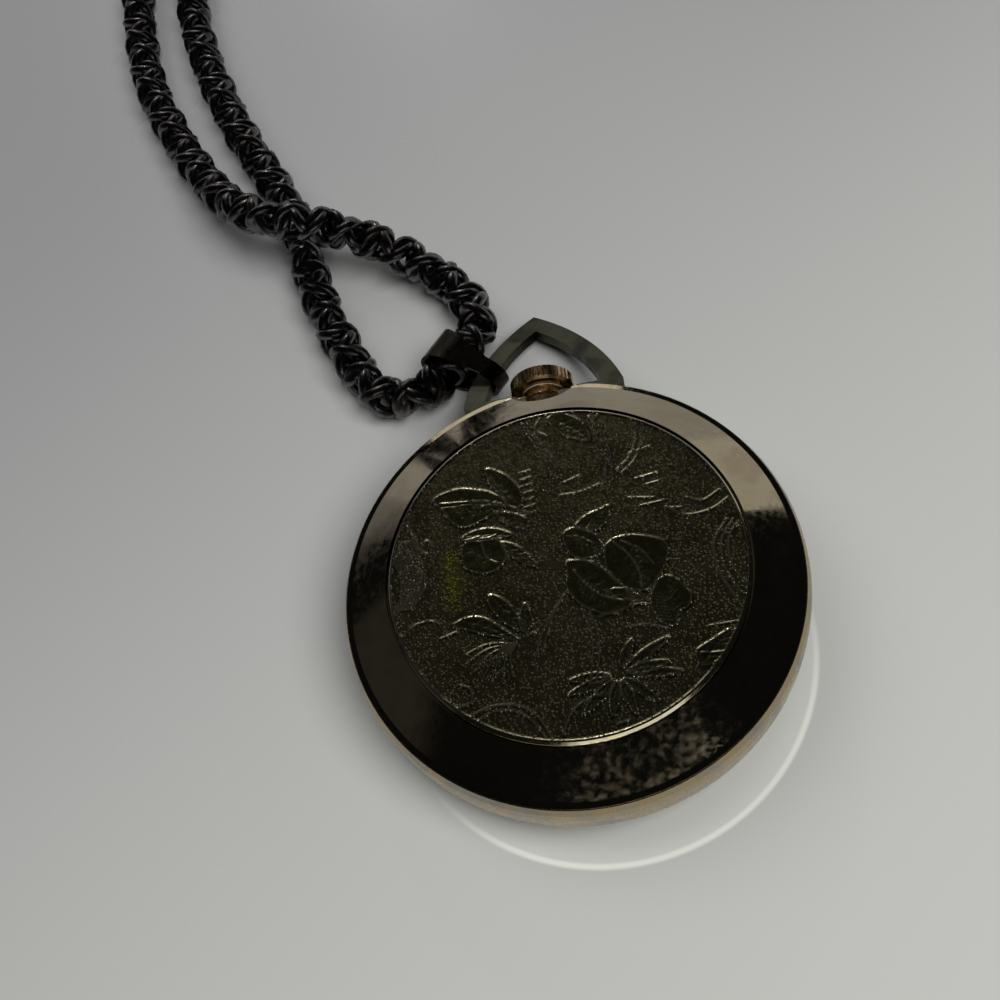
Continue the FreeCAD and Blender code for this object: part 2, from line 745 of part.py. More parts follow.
fourth_at = step_from(third_at, centre_distance(S.third_module, THIRD_TEETH, FOURTH_LEAVES),
                      FOURTH_DIRECTION)
escape_at = step_from(fourth_at, centre_distance(S.fourth_module, FOURTH_TEETH, ESCAPE_LEAVES),
                      ESCAPE_DIRECTION)
pallet_reach = S.escape_radius + 0.7
fork_reach = 2.05
pallet_at = (escape_at[0] - pallet_reach, escape_at[1])
balance_at = (pallet_at[0] - fork_reach, pallet_at[1])
minute_distance = centre_distance(S.motion_module, CANNON_LEAVES, MINUTE_TEETH)
minute_at = polar(minute_distance, MINUTE_DIRECTION)
setting_at = step_from(minute_at, centre_distance(S.motion_module, MINUTE_TEETH, SETTING_TEETH),
                       SETTING_DIRECTION)
winding_distance = float(centre_distance(S.winding_module, RATCHET_TEETH, CROWN_WHEEL_TEETH))
crown_wheel_y = barrel_at[1] + math.sqrt(winding_distance ** 2 - float(barrel_at[0]) ** 2)
CLICK_DIRECTION = 122.0
click_reach = 1.35
ratchet_tip = centre_distance(S.winding_module, RATCHET_TEETH, 0) + S.winding_module * 0.8
click_at = step_from(barrel_at, ratchet_tip + click_reach + 0.05, CLICK_DIRECTION)

# Places along the stem, from the crown wheel that the winding pinion drives
winding_pinion_near = crown_wheel_y + 2.42
winding_pinion_length = 1.15
groove_near = winding_pinion_near + winding_pinion_length + 0.1
groove_width = 0.5
sliding_length = 2.0
sliding_start = winding_pinion_near - sliding_length - 0.06
slot_clearance = 0.42

# Heights shared by plates and wheels
floor_top = S.plate_bottom + S.plate_floor
bridge_top = S.rim_top + S.bridge_thick
wheel_bed = bridge_top - S.recess_depth
cock_top = S.cock_bottom + S.cock_thick
jewel_hole = S.pivot_radius + S.pivot_gap
arbor_hole = S.arbor_radius + 0.07
pallet_bridge_low = S.lower_wheel + 0.6
pallet_bridge_thick = 0.25

BRIDGE_SCREWS = {"barrel_bridge": (32.0, 125.0, 186.0), "train_bridge": (-70.0, -22.0),
                 "balance_cock": (-96.0,)}
CASE_SCREWS = (6.0, -140.0)
DIAL_FEET = ((9.6, -2.0), (-9.6, -4.5))

# Mainplate

rim_inner = S.plate_radius - S.plate_rim
centre_hole = S.arbor_radius + S.pivot_gap
mainplate = [
    (centre_hole, S.plate_bottom),
    (S.plate_radius, S.plate_bottom),
    (S.plate_radius, S.rim_top),
    (rim_inner, S.rim_top),
    (rim_inner, floor_top),
    (centre_hole, floor_top),
]
turned("mainplate", mainplate)
bearing_block = (1.4, 1.0, 1.4)
join("mainplate", block(bearing_block, (-0.55, S.stem_inner, floor_top)))
lever_low = S.dial_bottom + S.dial_thick + 0.1
lever_thick = 0.25
setting_lever_at = (3.4, 11.3)
yoke_at = (-3.3, 9.9)
post_radius = 0.3
wheel_low = lever_low + lever_thick + 0.05
for at, low in ((minute_at, lever_low), (setting_at, wheel_low),
                (setting_lever_at, lever_low), (yoke_at, lever_low)):
    join("mainplate", rod(post_radius, S.plate_bottom - low, (*at, low)))
slot_near = sliding_start - S.crown_pull - slot_clearance
slot_far = groove_near + 0.22
winding_slot = (3.7, slot_far - slot_near, S.plate_floor)
pin_slot_near = groove_near - 0.08
pin_slot = (1.3, groove_width + S.crown_pull + 0.1, S.stem_height - S.plate_bottom)
cut("mainplate",
    merged(block(winding_slot, (-1.85, slot_near, S.plate_bottom)),
           block(pin_slot, (-0.65, pin_slot_near, S.plate_bottom))),
    rod(S.stem_radius + S.stem_gap, 4.0, (0, S.plate_radius - 3.0, S.stem_height), "y"),
    rod(0.35 + S.stem_gap, 3.0, (0, S.stem_inner - 1.0, S.stem_height), "y"),
    rod(0.4 + S.pivot_gap, S.plate_floor, (*barrel_at, S.plate_bottom)))
for at in (third_at, fourth_at, escape_at, pallet_at, balance_at):
    cut("mainplate",
        rod(S.jewel_radius, S.jewel_thick, (*at, S.plate_bottom)),
        rod(arbor_hole, S.plate_floor - S.jewel_thick, (*at, S.plate_bottom + S.jewel_thick)))
for at in DIAL_FEET:
    cut("mainplate", rod(post_radius, S.plate_floor, (*at, S.plate_bottom)))
    join("dial", rod(post_radius, S.plate_bottom + S.plate_floor - 0.1 - dial_top, (*at, dial_top)))

# Bridges and cock


def bridge_screw_holes(name):
    for degrees in BRIDGE_SCREWS[name]:
        at = polar(S.screw_circle, degrees)
        tool = rod(S.screw_radius, cock_top - S.lower_wheel, (*at, S.lower_wheel))
        cut(name, tool)
        cut("mainplate", rod(S.screw_radius, S.rim_top - S.lower_wheel, (*at, S.lower_wheel)))


def bridge_jewel_hole(name, at, low, top):
    cut(name, rod(S.jewel_radius, S.jewel_thick, (*at, top - S.jewel_thick)),
        rod(arbor_hole, top - low, (*at, low)))


barrel_bridge = [
    (*polar(S.plate_radius, 20.0), S.plate_radius),
    polar(S.plate_radius, 195.0),
    (-2.2, -2.0),
    (1.3, -2.0),
    (2.2, 1.6),
]
slab("barrel_bridge", barrel_bridge, S.rim_top, S.bridge_thick)
crown_wheel_tip = centre_distance(S.winding_module, CROWN_WHEEL_TEETH, 0) + S.winding_module * 0.8
bearing_hole = 0.5 + S.pivot_gap
cut("barrel_bridge",
    rod(ratchet_tip + 0.12, 1.0, (*barrel_at, wheel_bed)),
    rod(crown_wheel_tip + 0.12, 1.0, (0, crown_wheel_y, wheel_bed)),
    rod(click_reach + 0.12, 1.0, (*click_at, wheel_bed)),
    rod(bearing_hole, 2.0, (*barrel_at, S.rim_top - 0.5)),
    rod(0.35, 2.0, (0, crown_wheel_y, S.rim_top - 0.5)),
    rod(0.25, 2.0, (*click_at, S.rim_top - 0.5)),
    block((3.6, 1.55, 2.0), (-1.8, crown_wheel_y + 2.35, S.rim_top - 0.5)))
bridge_jewel_hole("barrel_bridge", (0, 0), S.rim_top, bridge_top)
bridge_screw_holes("barrel_bridge")

train_bridge = [
    (*polar(S.plate_radius, -78.0), S.plate_radius),
    polar(S.plate_radius, -8.0),
    (6.2, 0.3),
    (3.0, 0.3),
    (1.9, -3.0),
    (-1.3, -5.8),
    (-1.3, -8.0),
    (0.9, -9.0),
]
slab("train_bridge", train_bridge, S.rim_top, S.bridge_thick)
for at in (third_at, fourth_at, escape_at):
    bridge_jewel_hole("train_bridge", at, S.rim_top, bridge_top)
bridge_screw_holes("train_bridge")

cock_foot_start = polar(S.plate_radius, -104.0)
cock_foot_end = polar(S.plate_radius, -84.0)
balance_cock = [
    (*cock_foot_start, S.plate_radius),
    cock_foot_end,
    (balance_at[0] + 3.2, balance_at[1] - 1.8),
    (balance_at[0] + 1.2, balance_at[1] + 1.3),
    (balance_at[0] - 0.5, balance_at[1] + 1.5),
    (balance_at[0] - 1.5, balance_at[1] + 0.2),
    (balance_at[0] - 0.8, balance_at[1] - 1.4),
]
slab("balance_cock", balance_cock, S.cock_bottom, S.cock_thick)
foot_inner = rim_inner + 0.05
cock_foot = [
    (*cock_foot_start, S.plate_radius),
    cock_foot_end,
    (*polar(foot_inner, -84.0), -foot_inner),
    polar(foot_inner, -104.0),
]
slab("cock_foot", cock_foot, S.rim_top, S.cock_bottom - S.rim_top)
foot = nodes.pop("cock_foot")
join("balance_cock", foot)
bridge_jewel_hole("balance_cock", balance_at, S.cock_bottom, cock_top)
bridge_screw_holes("balance_cock")
stud_at = step_from(balance_at, S.hairspring_radius + 0.18, -45.0)
cut("balance_cock", rod(0.25, S.cock_thick, (*stud_at, S.cock_bottom)))

pallet_bridge = [
    (pallet_at[0] - 0.5, pallet_at[1] + 2.9),
    (pallet_at[0] - 0.7, pallet_at[1]),
    (pallet_at[0] + 0.1, pallet_at[1] - 3.3),
    (pallet_at[0] + 1.1, pallet_at[1] - 3.1),
    (pallet_at[0] + 0.6, pallet_at[1]),
    (pallet_at[0] + 0.6, pallet_at[1] + 2.9),
]
slab("pallet_bridge", pallet_bridge, pallet_bridge_low, pallet_bridge_thick,
     [(*pallet_at, jewel_hole)])
for along in (2.4, -2.8):
    join("pallet_bridge", rod(0.42, pallet_bridge_low - floor_top,
                              (pallet_at[0] + (0.05 if along > 0 else 0.55), pallet_at[1] + along,
                               floor_top)))


def screws(places, shank_low, head_low, shank_radius, head_radius, head_thick):
    """A group of slotted screws, as separate solids."""
    group = []
    for x, y in places:
        at = Vector(float(x), float(y), 0)
        shank = disc_shape(shank_radius, shank_low, head_low)
        head = disc_shape(head_radius, head_low, head_low + head_thick)
        slot = Part.makeBox(3 * float(head_radius), 0.16, 0.12,
                            Vector(-1.5 * float(head_radius), -0.08, float(head_low + head_thick) - 0.12))
        slot.rotate(Vector(0, 0, 0), Vector(0, 0, 1), 37.0 * len(group))
        screw = shank.fuse(head).removeSplitter().cut(slot)
        screw.translate(at)
        group.append(screw)
    return Part.makeCompound(group)


bridge_places = [polar(S.screw_circle, degrees) for name in ("barrel_bridge", "train_bridge")
                 for degrees in BRIDGE_SCREWS[name]]
cock_places = [polar(S.screw_circle, degrees) for degrees in BRIDGE_SCREWS["balance_cock"]]
solid("bridge_screws", Part.makeCompound([
    screws(bridge_places, S.lower_wheel, bridge_top, S.screw_radius, S.screw_head,
           S.screw_head_thick),
    screws(cock_places, S.lower_wheel, cock_top, S.screw_radius, S.screw_head,
           S.screw_head_thick)]))
case_screw_circle = S.plate_radius + 0.75
case_places = [polar(case_screw_circle, degrees) for degrees in CASE_SCREWS]
solid("case_screws", screws(case_places, S.rim_top - 1.6, S.rim_top, 0.4, 1.05, 0.3))
for at in case_places:
    cut("movement_ring", rod(0.4, 1.6, (*at, S.rim_top - 1.6)))


def jewel(at, low):
    ring = disc_shape(S.jewel_radius, low, low + S.jewel_thick)
    ring = ring.cut(disc_shape(jewel_hole, low, low + S.jewel_thick))
    ring.translate(Vector(float(at[0]), float(at[1]), 0))
    return ring


jewels = [jewel(at, S.plate_bottom) for at in
          (third_at, fourth_at, escape_at, pallet_at, balance_at)]
jewels += [jewel(at, bridge_top - S.jewel_thick) for at in (third_at, fourth_at, escape_at)]
jewels += [jewel(balance_at, cock_top - S.jewel_thick)]
solid("jewels", Part.makeCompound(jewels))

# Going train


def arbor_parts(low, thick_low, thick_high, high, radius=None):
    """An arbor with a thin pivot at each end."""
    body = disc_shape(radius or S.arbor_radius, thick_low, thick_high)
    return [body, disc_shape(S.pivot_radius, low, thick_low),
            disc_shape(S.pivot_radius, thick_high, high)]


def fuse_all(shapes):
    return shapes[0].multiFuse(shapes[1:]).removeSplitter()


def spoked_gear(teeth, module, low, phase, spokes=4):
    pitch_radius = float(module) * teeth / 2
    gear = raised(toothed(teeth, module, S.wheel_thick, phase), low)
    windows = spoke_windows(0.28 * pitch_radius, 0.8 * pitch_radius, spokes, 0.4,
                            low, low + S.wheel_thick)
    return gear.cut(windows)


def pinion(teeth, module, low, high, phase):
    return raised(toothed(teeth, module, high - low, phase), low)


pivot_low = S.plate_bottom + 0.05
thick_low = S.plate_bottom + S.jewel_thick + 0.02
thick_high = bridge_top - S.jewel_thick - 0.02
pivot_high = bridge_top - 0.05
barrel_low = floor_top + S.train_gap
barrel_high = barrel_low + S.barrel_height
direction = math.radians

barrel_phase = 0.0
centre_pinion_phase = mesh_phase(barrel_phase, BARREL_TEETH, CENTRE_LEAVES,
                                 direction(BARREL_DIRECTION + 180.0))
centre_phase = 0.02
third_pinion_phase = mesh_phase(centre_phase, CENTRE_TEETH, THIRD_LEAVES, direction(THIRD_DIRECTION))
third_phase = 0.03
fourth_pinion_phase = mesh_phase(third_phase, THIRD_TEETH, FOURTH_LEAVES,
                                 direction(FOURTH_DIRECTION))
fourth_phase = 0.01
escape_pinion_phase = mesh_phase(fourth_phase, FOURTH_TEETH, ESCAPE_LEAVES,
                                 direction(ESCAPE_DIRECTION))

drum_radius = S.barrel_module * (BARREL_TEETH / 2) - S.barrel_module * 1.05 - 0.14
drum_bore = drum_radius - S.barrel_wall
barrel_gear = raised(toothed(BARREL_TEETH, S.barrel_module, 0.3, barrel_phase), barrel_low + 0.1)
drum = barrel_gear.fuse(disc_shape(drum_radius, barrel_low, barrel_high)).removeSplitter()
drum = drum.cut(disc_shape(drum_bore, barrel_low + 0.2, barrel_high))
drum = drum.cut(disc_shape(0.4 + S.pivot_gap, barrel_low, barrel_high))
solid("barrel_drum", drum, (*barrel_at, 0))
slab("barrel_cover", [], barrel_high - 0.2, 0.2, [(0, 0, drum_bore), (0, 0, bearing_hole)],
     barrel_at)
solid("mainspring", raised(spiral_strip(0.95, float(drum_bore) - 0.15, 7, 0.14, 0.6),
                           barrel_low + 0.25), (*barrel_at, 0))
barrel_arbor = [
    (0, pivot_low),
    (0.4, pivot_low),
    (0.4, barrel_low + 0.22),
    (0.68, barrel_low + 0.22),
    (0.68, barrel_high - 0.22),
    (0.5, barrel_high - 0.22),
    (0.5, wheel_bed),
    (0, wheel_bed),
]
turned("barrel_arbor", barrel_arbor, "z", (*barrel_at, 0))
square = 0.64
winding_wheel_low = wheel_bed + 0.03
winding_wheel_thick = 0.4
join("barrel_arbor", block((square, square, winding_wheel_thick + 0.03),
                           (barrel_at[0] - square / 2, barrel_at[1] - square / 2, wheel_bed)))

centre_parts = [
    spoked_gear(CENTRE_TEETH, S.centre_module, S.upper_wheel, centre_phase),
    pinion(CENTRE_LEAVES, S.barrel_module, barrel_low + 0.05, barrel_high, centre_pinion_phase),
    disc_shape(S.arbor_radius, S.minute_hand_height + 0.05, thick_high),
    disc_shape(S.pivot_radius, thick_high, pivot_high),
]
solid("centre_wheel", fuse_all(centre_parts))
centre_jewel = jewel((0, 0), bridge_top - S.jewel_thick)
nodes["jewels"].Shape = Part.makeCompound(jewels + [centre_jewel])

third_parts = [
    spoked_gear(THIRD_TEETH, S.third_module, S.lower_wheel, third_phase),
    pinion(THIRD_LEAVES, S.centre_module, S.upper_wheel - 0.05, S.upper_wheel + 0.35,
           third_pinion_phase),
] + arbor_parts(pivot_low, thick_low, thick_high, pivot_high)
solid("third_wheel", fuse_all(third_parts), (*third_at, 0))

fourth_parts = [
    spoked_gear(FOURTH_TEETH, S.fourth_module, S.middle_wheel, fourth_phase),
    pinion(FOURTH_LEAVES, S.third_module, S.lower_wheel - 0.1, S.lower_wheel + 0.3,
           fourth_pinion_phase),
] + arbor_parts(pivot_low, thick_low, thick_high, pivot_high)
solid("fourth_wheel", fuse_all(fourth_parts), (*fourth_at, 0))


def escape_star():
    """Fifteen slanted teeth round a thin rim."""
    points = []
    for tooth in range(ESCAPE_TEETH):
        for radius, offset in ((1.0, 0.0), (0.98, 0.12), (0.74, 0.2), (0.74, 0.75)):
            angle = (tooth + offset) * 2 * math.pi / ESCAPE_TEETH
            reach = float(S.escape_radius) * radius
            points.append(Vector(reach * math.cos(angle), reach * math.sin(angle), 0))
    star = Part.Face(Part.makePolygon(points + points[:1])).extrude(Vector(0, 0, float(S.wheel_thick)))
    return raised(star, S.lower_wheel).cut(
        spoke_windows(0.25 * float(S.escape_radius), 0.6 * float(S.escape_radius), 4, 0.3,
                      S.lower_wheel, S.lower_wheel + S.wheel_thick))


escape_parts = [
    escape_star(),
    pinion(ESCAPE_LEAVES, S.fourth_module, S.middle_wheel - 0.1, S.middle_wheel + 0.3,
           escape_pinion_phase),
] + arbor_parts(pivot_low, thick_low, thick_high, pivot_high, 0.2)
solid("escape_wheel", fuse_all(escape_parts), (*escape_at, 0))

# Pallet fork and balance

FORK_HALF = [(-1.45, 0.35), (-1.45, 0.12), (-1.2, 0.12)]
FORK_ARM = [(0.35, 0.2), (0.95, 1.45), (1.0, 1.75), (0.55, 1.75), (-0.35, 0.22), (-1.1, 0.4)]
fork_outline = FORK_HALF + [(x, -y) for x, y in reversed(FORK_HALF)]
fork_outline += [(x, -y) for x, y in reversed(FORK_ARM)] + FORK_ARM
slab("pallet_fork", fork_outline, S.lower_wheel, S.wheel_thick, (), pallet_at)
join("pallet_fork",
     rod(0.2, pallet_bridge_low - thick_low, (*pallet_at, thick_low)),
     rod(S.pivot_radius, pallet_bridge_low + 0.2 - pivot_low, (*pallet_at, pivot_low)))


def balance_shape():
    """A rim on two arms, with small timing screws round it."""
    rim_outer = S.balance_radius - 0.2
    rim_inner_radius = rim_outer - S.balance_rim
    low = S.balance_height
    high = low + S.balance_thick
    wheel = disc_shape(rim_outer, low, high)
    wheel = wheel.cut(spoke_windows(0.6, rim_inner_radius, 2, 0.6, low, high))
    screws_round = []
    for number in range(12):
        screw = Part.makeCylinder(0.11, 0.35, Vector(float(rim_outer) - 0.15, 0, float(low) + 0.15),
                                  Vector(1, 0, 0))
        screw.rotate(Vector(0, 0, 0), Vector(0, 0, 1), 15.0 + 30.0 * number)
        screws_round.append(screw)
    wheel = fuse_all([wheel] + screws_round)
    return wheel.cut(disc_shape(0.2, low, high))


solid("balance_wheel", balance_shape(), (*balance_at, 0))
roller_radius = 0.5
staff_parts = [
    disc_shape(0.2, thick_low, cock_top - S.jewel_thick - 0.02),
    disc_shape(roller_radius, S.lower_wheel, S.lower_wheel + S.wheel_thick),
    disc_shape(S.pivot_radius, pivot_low, thick_low),
    disc_shape(S.pivot_radius, cock_top - S.jewel_thick - 0.02, cock_top - 0.05),
    disc_shape(0.38, S.hairspring_height - 0.05, S.hairspring_height + 0.25),
]
solid("balance_staff", fuse_all(staff_parts), (*balance_at, 0))
hairspring_inner = 0.43
hairspring = spiral_strip(hairspring_inner, float(S.hairspring_radius) - 0.05, 9, 0.07, 0.2)
hairspring.rotate(Vector(0, 0, 0), Vector(0, 0, 1), -45.0)
solid("hairspring", raised(hairspring, S.hairspring_height), (*balance_at, 0))
solid("hairspring_stud", disc_shape(0.25, S.hairspring_height, cock_top), (*stud_at, 0))
regulator = [
    (-0.85, -0.6),
    (0.85, -0.6),
    (0.85, 0.6),
    (0.25, 1.0),
    (0.12, 2.3),
    (-0.12, 2.3),
    (-0.25, 1.0),
    (-0.85, 0.6),
]
slab("regulator", regulator, cock_top, 0.18, [(0, 0, 0.45)], balance_at)

# Winding works on the back

ratchet_phase = 0.0
crown_wheel_direction = math.atan2(float(crown_wheel_y - barrel_at[1]), -float(barrel_at[0]))
crown_wheel_phase = mesh_phase(ratchet_phase, RATCHET_TEETH, CROWN_WHEEL_TEETH,
                               crown_wheel_direction)
ratchet = raised(toothed(RATCHET_TEETH, S.winding_module, winding_wheel_thick, ratchet_phase),
                 winding_wheel_low)
square_hole = square + 0.02
ratchet = ratchet.cut(Part.makeBox(square_hole, square_hole, 1.0,
                                   Vector(-square_hole / 2, -square_hole / 2,
                                          float(winding_wheel_low))))
solid("ratchet_wheel", ratchet, (*barrel_at, 0))
winding_wheel_top = winding_wheel_low + winding_wheel_thick
solid("ratchet_screw", screws([(0, 0)], winding_wheel_top, winding_wheel_top + 0.01, 0.5, 1.0, 0.3),
      (*barrel_at, 0))
crown_wheel = raised(toothed(CROWN_WHEEL_TEETH, S.winding_module, winding_wheel_thick,
                             crown_wheel_phase), winding_wheel_low)
core_radius = 0.8
crown_wheel = crown_wheel.cut(disc_shape(core_radius + S.pivot_gap, winding_wheel_low,
                                         winding_wheel_top))
solid("crown_wheel", crown_wheel, (0, crown_wheel_y, 0))
core = disc_shape(core_radius, wheel_bed, winding_wheel_top + 0.02)
core_screw = screws([(0, 0)], S.rim_top, winding_wheel_top + 0.02, 0.35, 1.25, 0.25)
solid("crown_wheel_screw", fuse_all([core, core_screw.Solids[0]]), (0, crown_wheel_y, 0))

click = [
    (-0.6, 0.35),
    (-0.6, -0.35),
    (-0.06, -click_reach),
    (0.06, -click_reach),
    (0.6, -0.35),
    (0.6, 0.35),
    (0.25, 0.6),
    (-0.25, 0.6),
]
slab("click", click, winding_wheel_low, winding_wheel_thick, [(0, 0, 0.28)], click_at)
nodes["click"].Placement.Rotation = FreeCAD.Rotation(Vector(0, 0, 1), CLICK_DIRECTION - 90)
solid("click_screw", screws([(0, 0)], S.rim_top, winding_wheel_top + 0.03, 0.25, 0.6, 0.2),
      (*click_at, 0))


def click_spring_shape():
    """A thin bent strip that presses the click against the ratchet wheel."""
    outer = Part.makeCylinder(click_reach, 0.3, Vector(0, 0, float(winding_wheel_low)),
                              Vector(0, 0, 1), 150.0)
    inner = disc_shape(click_reach - 0.14, winding_wheel_low, winding_wheel_low + 0.3)
    strip = outer.cut(inner)
    strip.rotate(Vector(0, 0, 0), Vector(0, 0, 1), CLICK_DIRECTION - 75)
    return strip


solid("click_spring", click_spring_shape(), (*click_at, 0))

# Stem, crown and keyless works

stem = [
    (0, S.stem_inner + 0.05),
    (0.35, S.stem_inner + 0.05),
    (0.35, S.stem_inner + 1.05),
    (S.stem_radius, S.stem_inner + 1.15),
    (S.stem_radius, groove_near),
    (0.38, groove_near),
    (0.38, groove_near + groove_width),
    (S.stem_radius, groove_near + groove_width),
    (S.stem_radius, S.crown_front + S.crown_recess),
    (0, S.crown_front + S.crown_recess),
]
turned("winding_stem", stem, "y", (0, 0, S.stem_height))


def along_stem(shape, start):
    """Turn a shape built along Z to lie along the stem from a distance."""
    laid = shape.copy()
    laid.rotate(Vector(0, 0, 0), Vector(1, 0, 0), -90.0)
    laid.translate(Vector(0, float(start), float(S.stem_height)))
    return laid


stem_bore = S.stem_radius + 0.03
winding_module = (S.winding_pinion_radius * 2) / (WINDING_TEETH + 1.6)
winding_pinion = toothed(WINDING_TEETH, winding_module, winding_pinion_length)
winding_pinion = winding_pinion.cut(disc_shape(stem_bore, 0, winding_pinion_length))
solid("winding_pinion", along_stem(winding_pinion, winding_pinion_near))
sliding_module = (S.sliding_pinion_radius * 2) / (WINDING_TEETH + 1.6)
waist_low = 0.85
waist_high = 1.35
sliding_pinion = toothed(WINDING_TEETH, sliding_module, sliding_length)
waist = disc_shape(2.0, waist_low, waist_high).cut(disc_shape(0.9, waist_low, waist_high))
sliding_pinion = sliding_pinion.cut(waist).cut(disc_shape(stem_bore, 0, sliding_length))
solid("sliding_pinion", along_stem(sliding_pinion, sliding_start))


def lever(name, at, tip, pin_radius, pin_top):
    """A flat lever under the mainplate with a pin that reaches up into a groove."""
    dx = float(tip[0]) - at[0]
    dy = float(tip[1]) - at[1]
    length = math.hypot(dx, dy)
    ux = dx / length
    uy = dy / length
    half = 0.38
    corners = [
        (-uy * 0.7 - ux * 0.5, ux * 0.7 - uy * 0.5),
        (uy * 0.7 - ux * 0.5, -ux * 0.7 - uy * 0.5),
        (uy * 0.7 + ux * 0.6, -ux * 0.7 + uy * 0.6),
        (uy * half + dx + ux * 0.3, -ux * half + dy + uy * 0.3),
        (-uy * half + dx + ux * 0.3, ux * half + dy + uy * 0.3),
        (-uy * 0.7 + ux * 0.6, ux * 0.7 + uy * 0.6),
    ]
    slab(name, corners, lever_low, lever_thick, [(0, 0, post_radius + S.pivot_gap)], at)
    join(name, rod(pin_radius, pin_top - lever_low, (*tip, lever_low)))


groove_middle = groove_near + groove_width / 2
lever("setting_lever", setting_lever_at, (0, groove_middle), 0.15, lever_pin_top)
waist_middle = sliding_start + (waist_low + waist_high) / 2
lever("yoke", yoke_at, (0, waist_middle), 0.15, S.stem_height - 0.96)

crown_back = S.crown_front + S.crown_length
recess_wall = S.neck_tube + 0.65
recess_end = S.crown_front + S.crown_recess
crown_profile = [
    (recess_wall, S.crown_front),
    (S.crown_radius - 0.25, S.crown_front),
    (S.crown_radius, S.crown_front + 0.2),
    (S.crown_radius, crown_back - 0.2),
    (S.crown_radius - 0.3, crown_back),
    (S.crown_radius * 0.55, crown_back + S.crown_dome * 0.8),
    (0, crown_back + S.crown_dome),
    (0, recess_end),
    (recess_wall, recess_end),
]
turned("crown", crown_profile, "y", (0, 0, S.stem_height))


def flute_cutter():
    """Grooves round the crown, as one shape to cut away."""
    radius = float(S.crown_radius)
    length = float(S.crown_length)
    cutters = []
    for number in range(CROWN_FLUTES):
        groove = Part.makeBox(0.22, 0.22, length * 1.4, Vector(-0.11, -0.11, 0))
        groove.rotate(Vector(0, 0, 0), Vector(0, 0, 1), 45.0)
        groove.translate(Vector(radius + 0.155 - float(S.crown_flute), 0, 0))
        groove.rotate(Vector(0, 0, 0), Vector(0, 0, 1), number * DEGREES_PER_TURN / CROWN_FLUTES)
        cutters.append(groove)
    return along_stem(Part.makeCompound(cutters), S.crown_front - 0.2 * length)


flutes = doc.addObject("Part::Feature", "crown_flutes")
flutes.Shape = flute_cutter()
cut("crown", flutes)
crown_gasket = [
    (S.neck_tube + 0.02, S.crown_front + 0.05),
    (recess_wall, S.crown_front + 0.05),
    (recess_wall, S.crown_front + 0.25),
    (S.neck_tube + 0.02, S.crown_front + 0.25),
]
turned("crown_gasket", crown_gasket, "y", (0, 0, S.stem_height))

# Wheels under the dial

cannon_phase = 0.0
minute_phase = mesh_phase(cannon_phase, CANNON_LEAVES, MINUTE_TEETH, direction(MINUTE_DIRECTION))
hour_module = minute_distance / ((MINUTE_LEAVES + HOUR_TEETH) / 2)
minute_pinion_phase = 0.0
hour_phase = mesh_phase(minute_pinion_phase, MINUTE_LEAVES, HOUR_TEETH,
                        direction(MINUTE_DIRECTION + 180.0))
setting_phase = mesh_phase(minute_phase, MINUTE_TEETH, SETTING_TEETH, direction(SETTING_DIRECTION))
wheel_bore = post_radius + S.pivot_gap
hour_low = lever_low - 0.03

cannon = fuse_all([
    disc_shape(cannon_outer, S.minute_hand_height - 0.15, wheel_low + 0.32),
    pinion(CANNON_LEAVES, S.motion_module, wheel_low - 0.02, wheel_low + 0.32, cannon_phase)])
solid("cannon_pinion", cannon.cut(disc_shape(centre_tube, 0, S.stem_height)))
hour_gear = raised(toothed(HOUR_TEETH, hour_module, S.wheel_thick, hour_phase), hour_low)
hour_parts = fuse_all([hour_gear, disc_shape(hour_pipe, S.hour_hand_height, hour_low + 0.1)])
solid("hour_wheel", hour_parts.cut(disc_shape(cannon_outer + S.pivot_gap, 0, S.stem_height)))
minute_parts = fuse_all([
    raised(toothed(MINUTE_TEETH, S.motion_module, S.wheel_thick, minute_phase), wheel_low),
    pinion(MINUTE_LEAVES, hour_module, hour_low, wheel_low + 0.05, minute_pinion_phase)])
solid("minute_wheel", minute_parts.cut(disc_shape(wheel_bore, 0, S.stem_height)), (*minute_at, 0))
setting_gear = raised(toothed(SETTING_TEETH, S.motion_module, S.wheel_thick, setting_phase),
                      wheel_low)
solid("setting_wheel", setting_gear.cut(disc_shape(wheel_bore, 0, S.stem_height)),
      (*setting_at, 0))

# Bow, its pins and the bail

bow = [
    (S.bow_foot_end, -S.bow_foot_half),
    (S.bow_half_width - 0.7, -S.bow_foot_half),
    (S.bow_half_width, 0.3),
    (0, S.bow_length),
    (-S.bow_half_width, 0.3),
    (-S.bow_half_width + 0.7, -S.bow_foot_half),
    (-S.bow_foot_end, -S.bow_foot_half),
    (-S.bow_foot_end, S.bow_foot_half),
    (S.bow_strap + 0.25 - S.bow_half_width, S.bow_foot_half),
    (0, S.bow_length - S.bow_point),
    (S.bow_half_width - S.bow_strap - 0.25, S.bow_foot_half),
    (S.bow_foot_end, S.bow_foot_half),
]
for number, bulge in ((2, S.bow_bulge_radius), (3, S.bow_bulge_radius),
                      (8, -S.bow_inner_bulge), (9, -S.bow_inner_bulge)):
    bow[number] = (*bow[number], bulge)
slab("bow", bow, S.bow_thick * -0.5, S.bow_thick)
droop = FreeCAD.Rotation(Vector(1, 0, 0), -float(S.bow_droop))
pivot = Vector(0, float(S.pivot_distance), float(S.stem_height))


def on_bow(x, reach, height=0.0):
    """A place given across, along and over the bow, in the frame of the watch."""
    return pivot + droop.multVec(Vector(float(x), float(reach), float(height)))


nodes["bow"].setExpression("Placement.Base.z", None)
nodes["bow"].Placement = FreeCAD.Placement(on_bow(0, 0, -S.bow_thick / 2), droop)

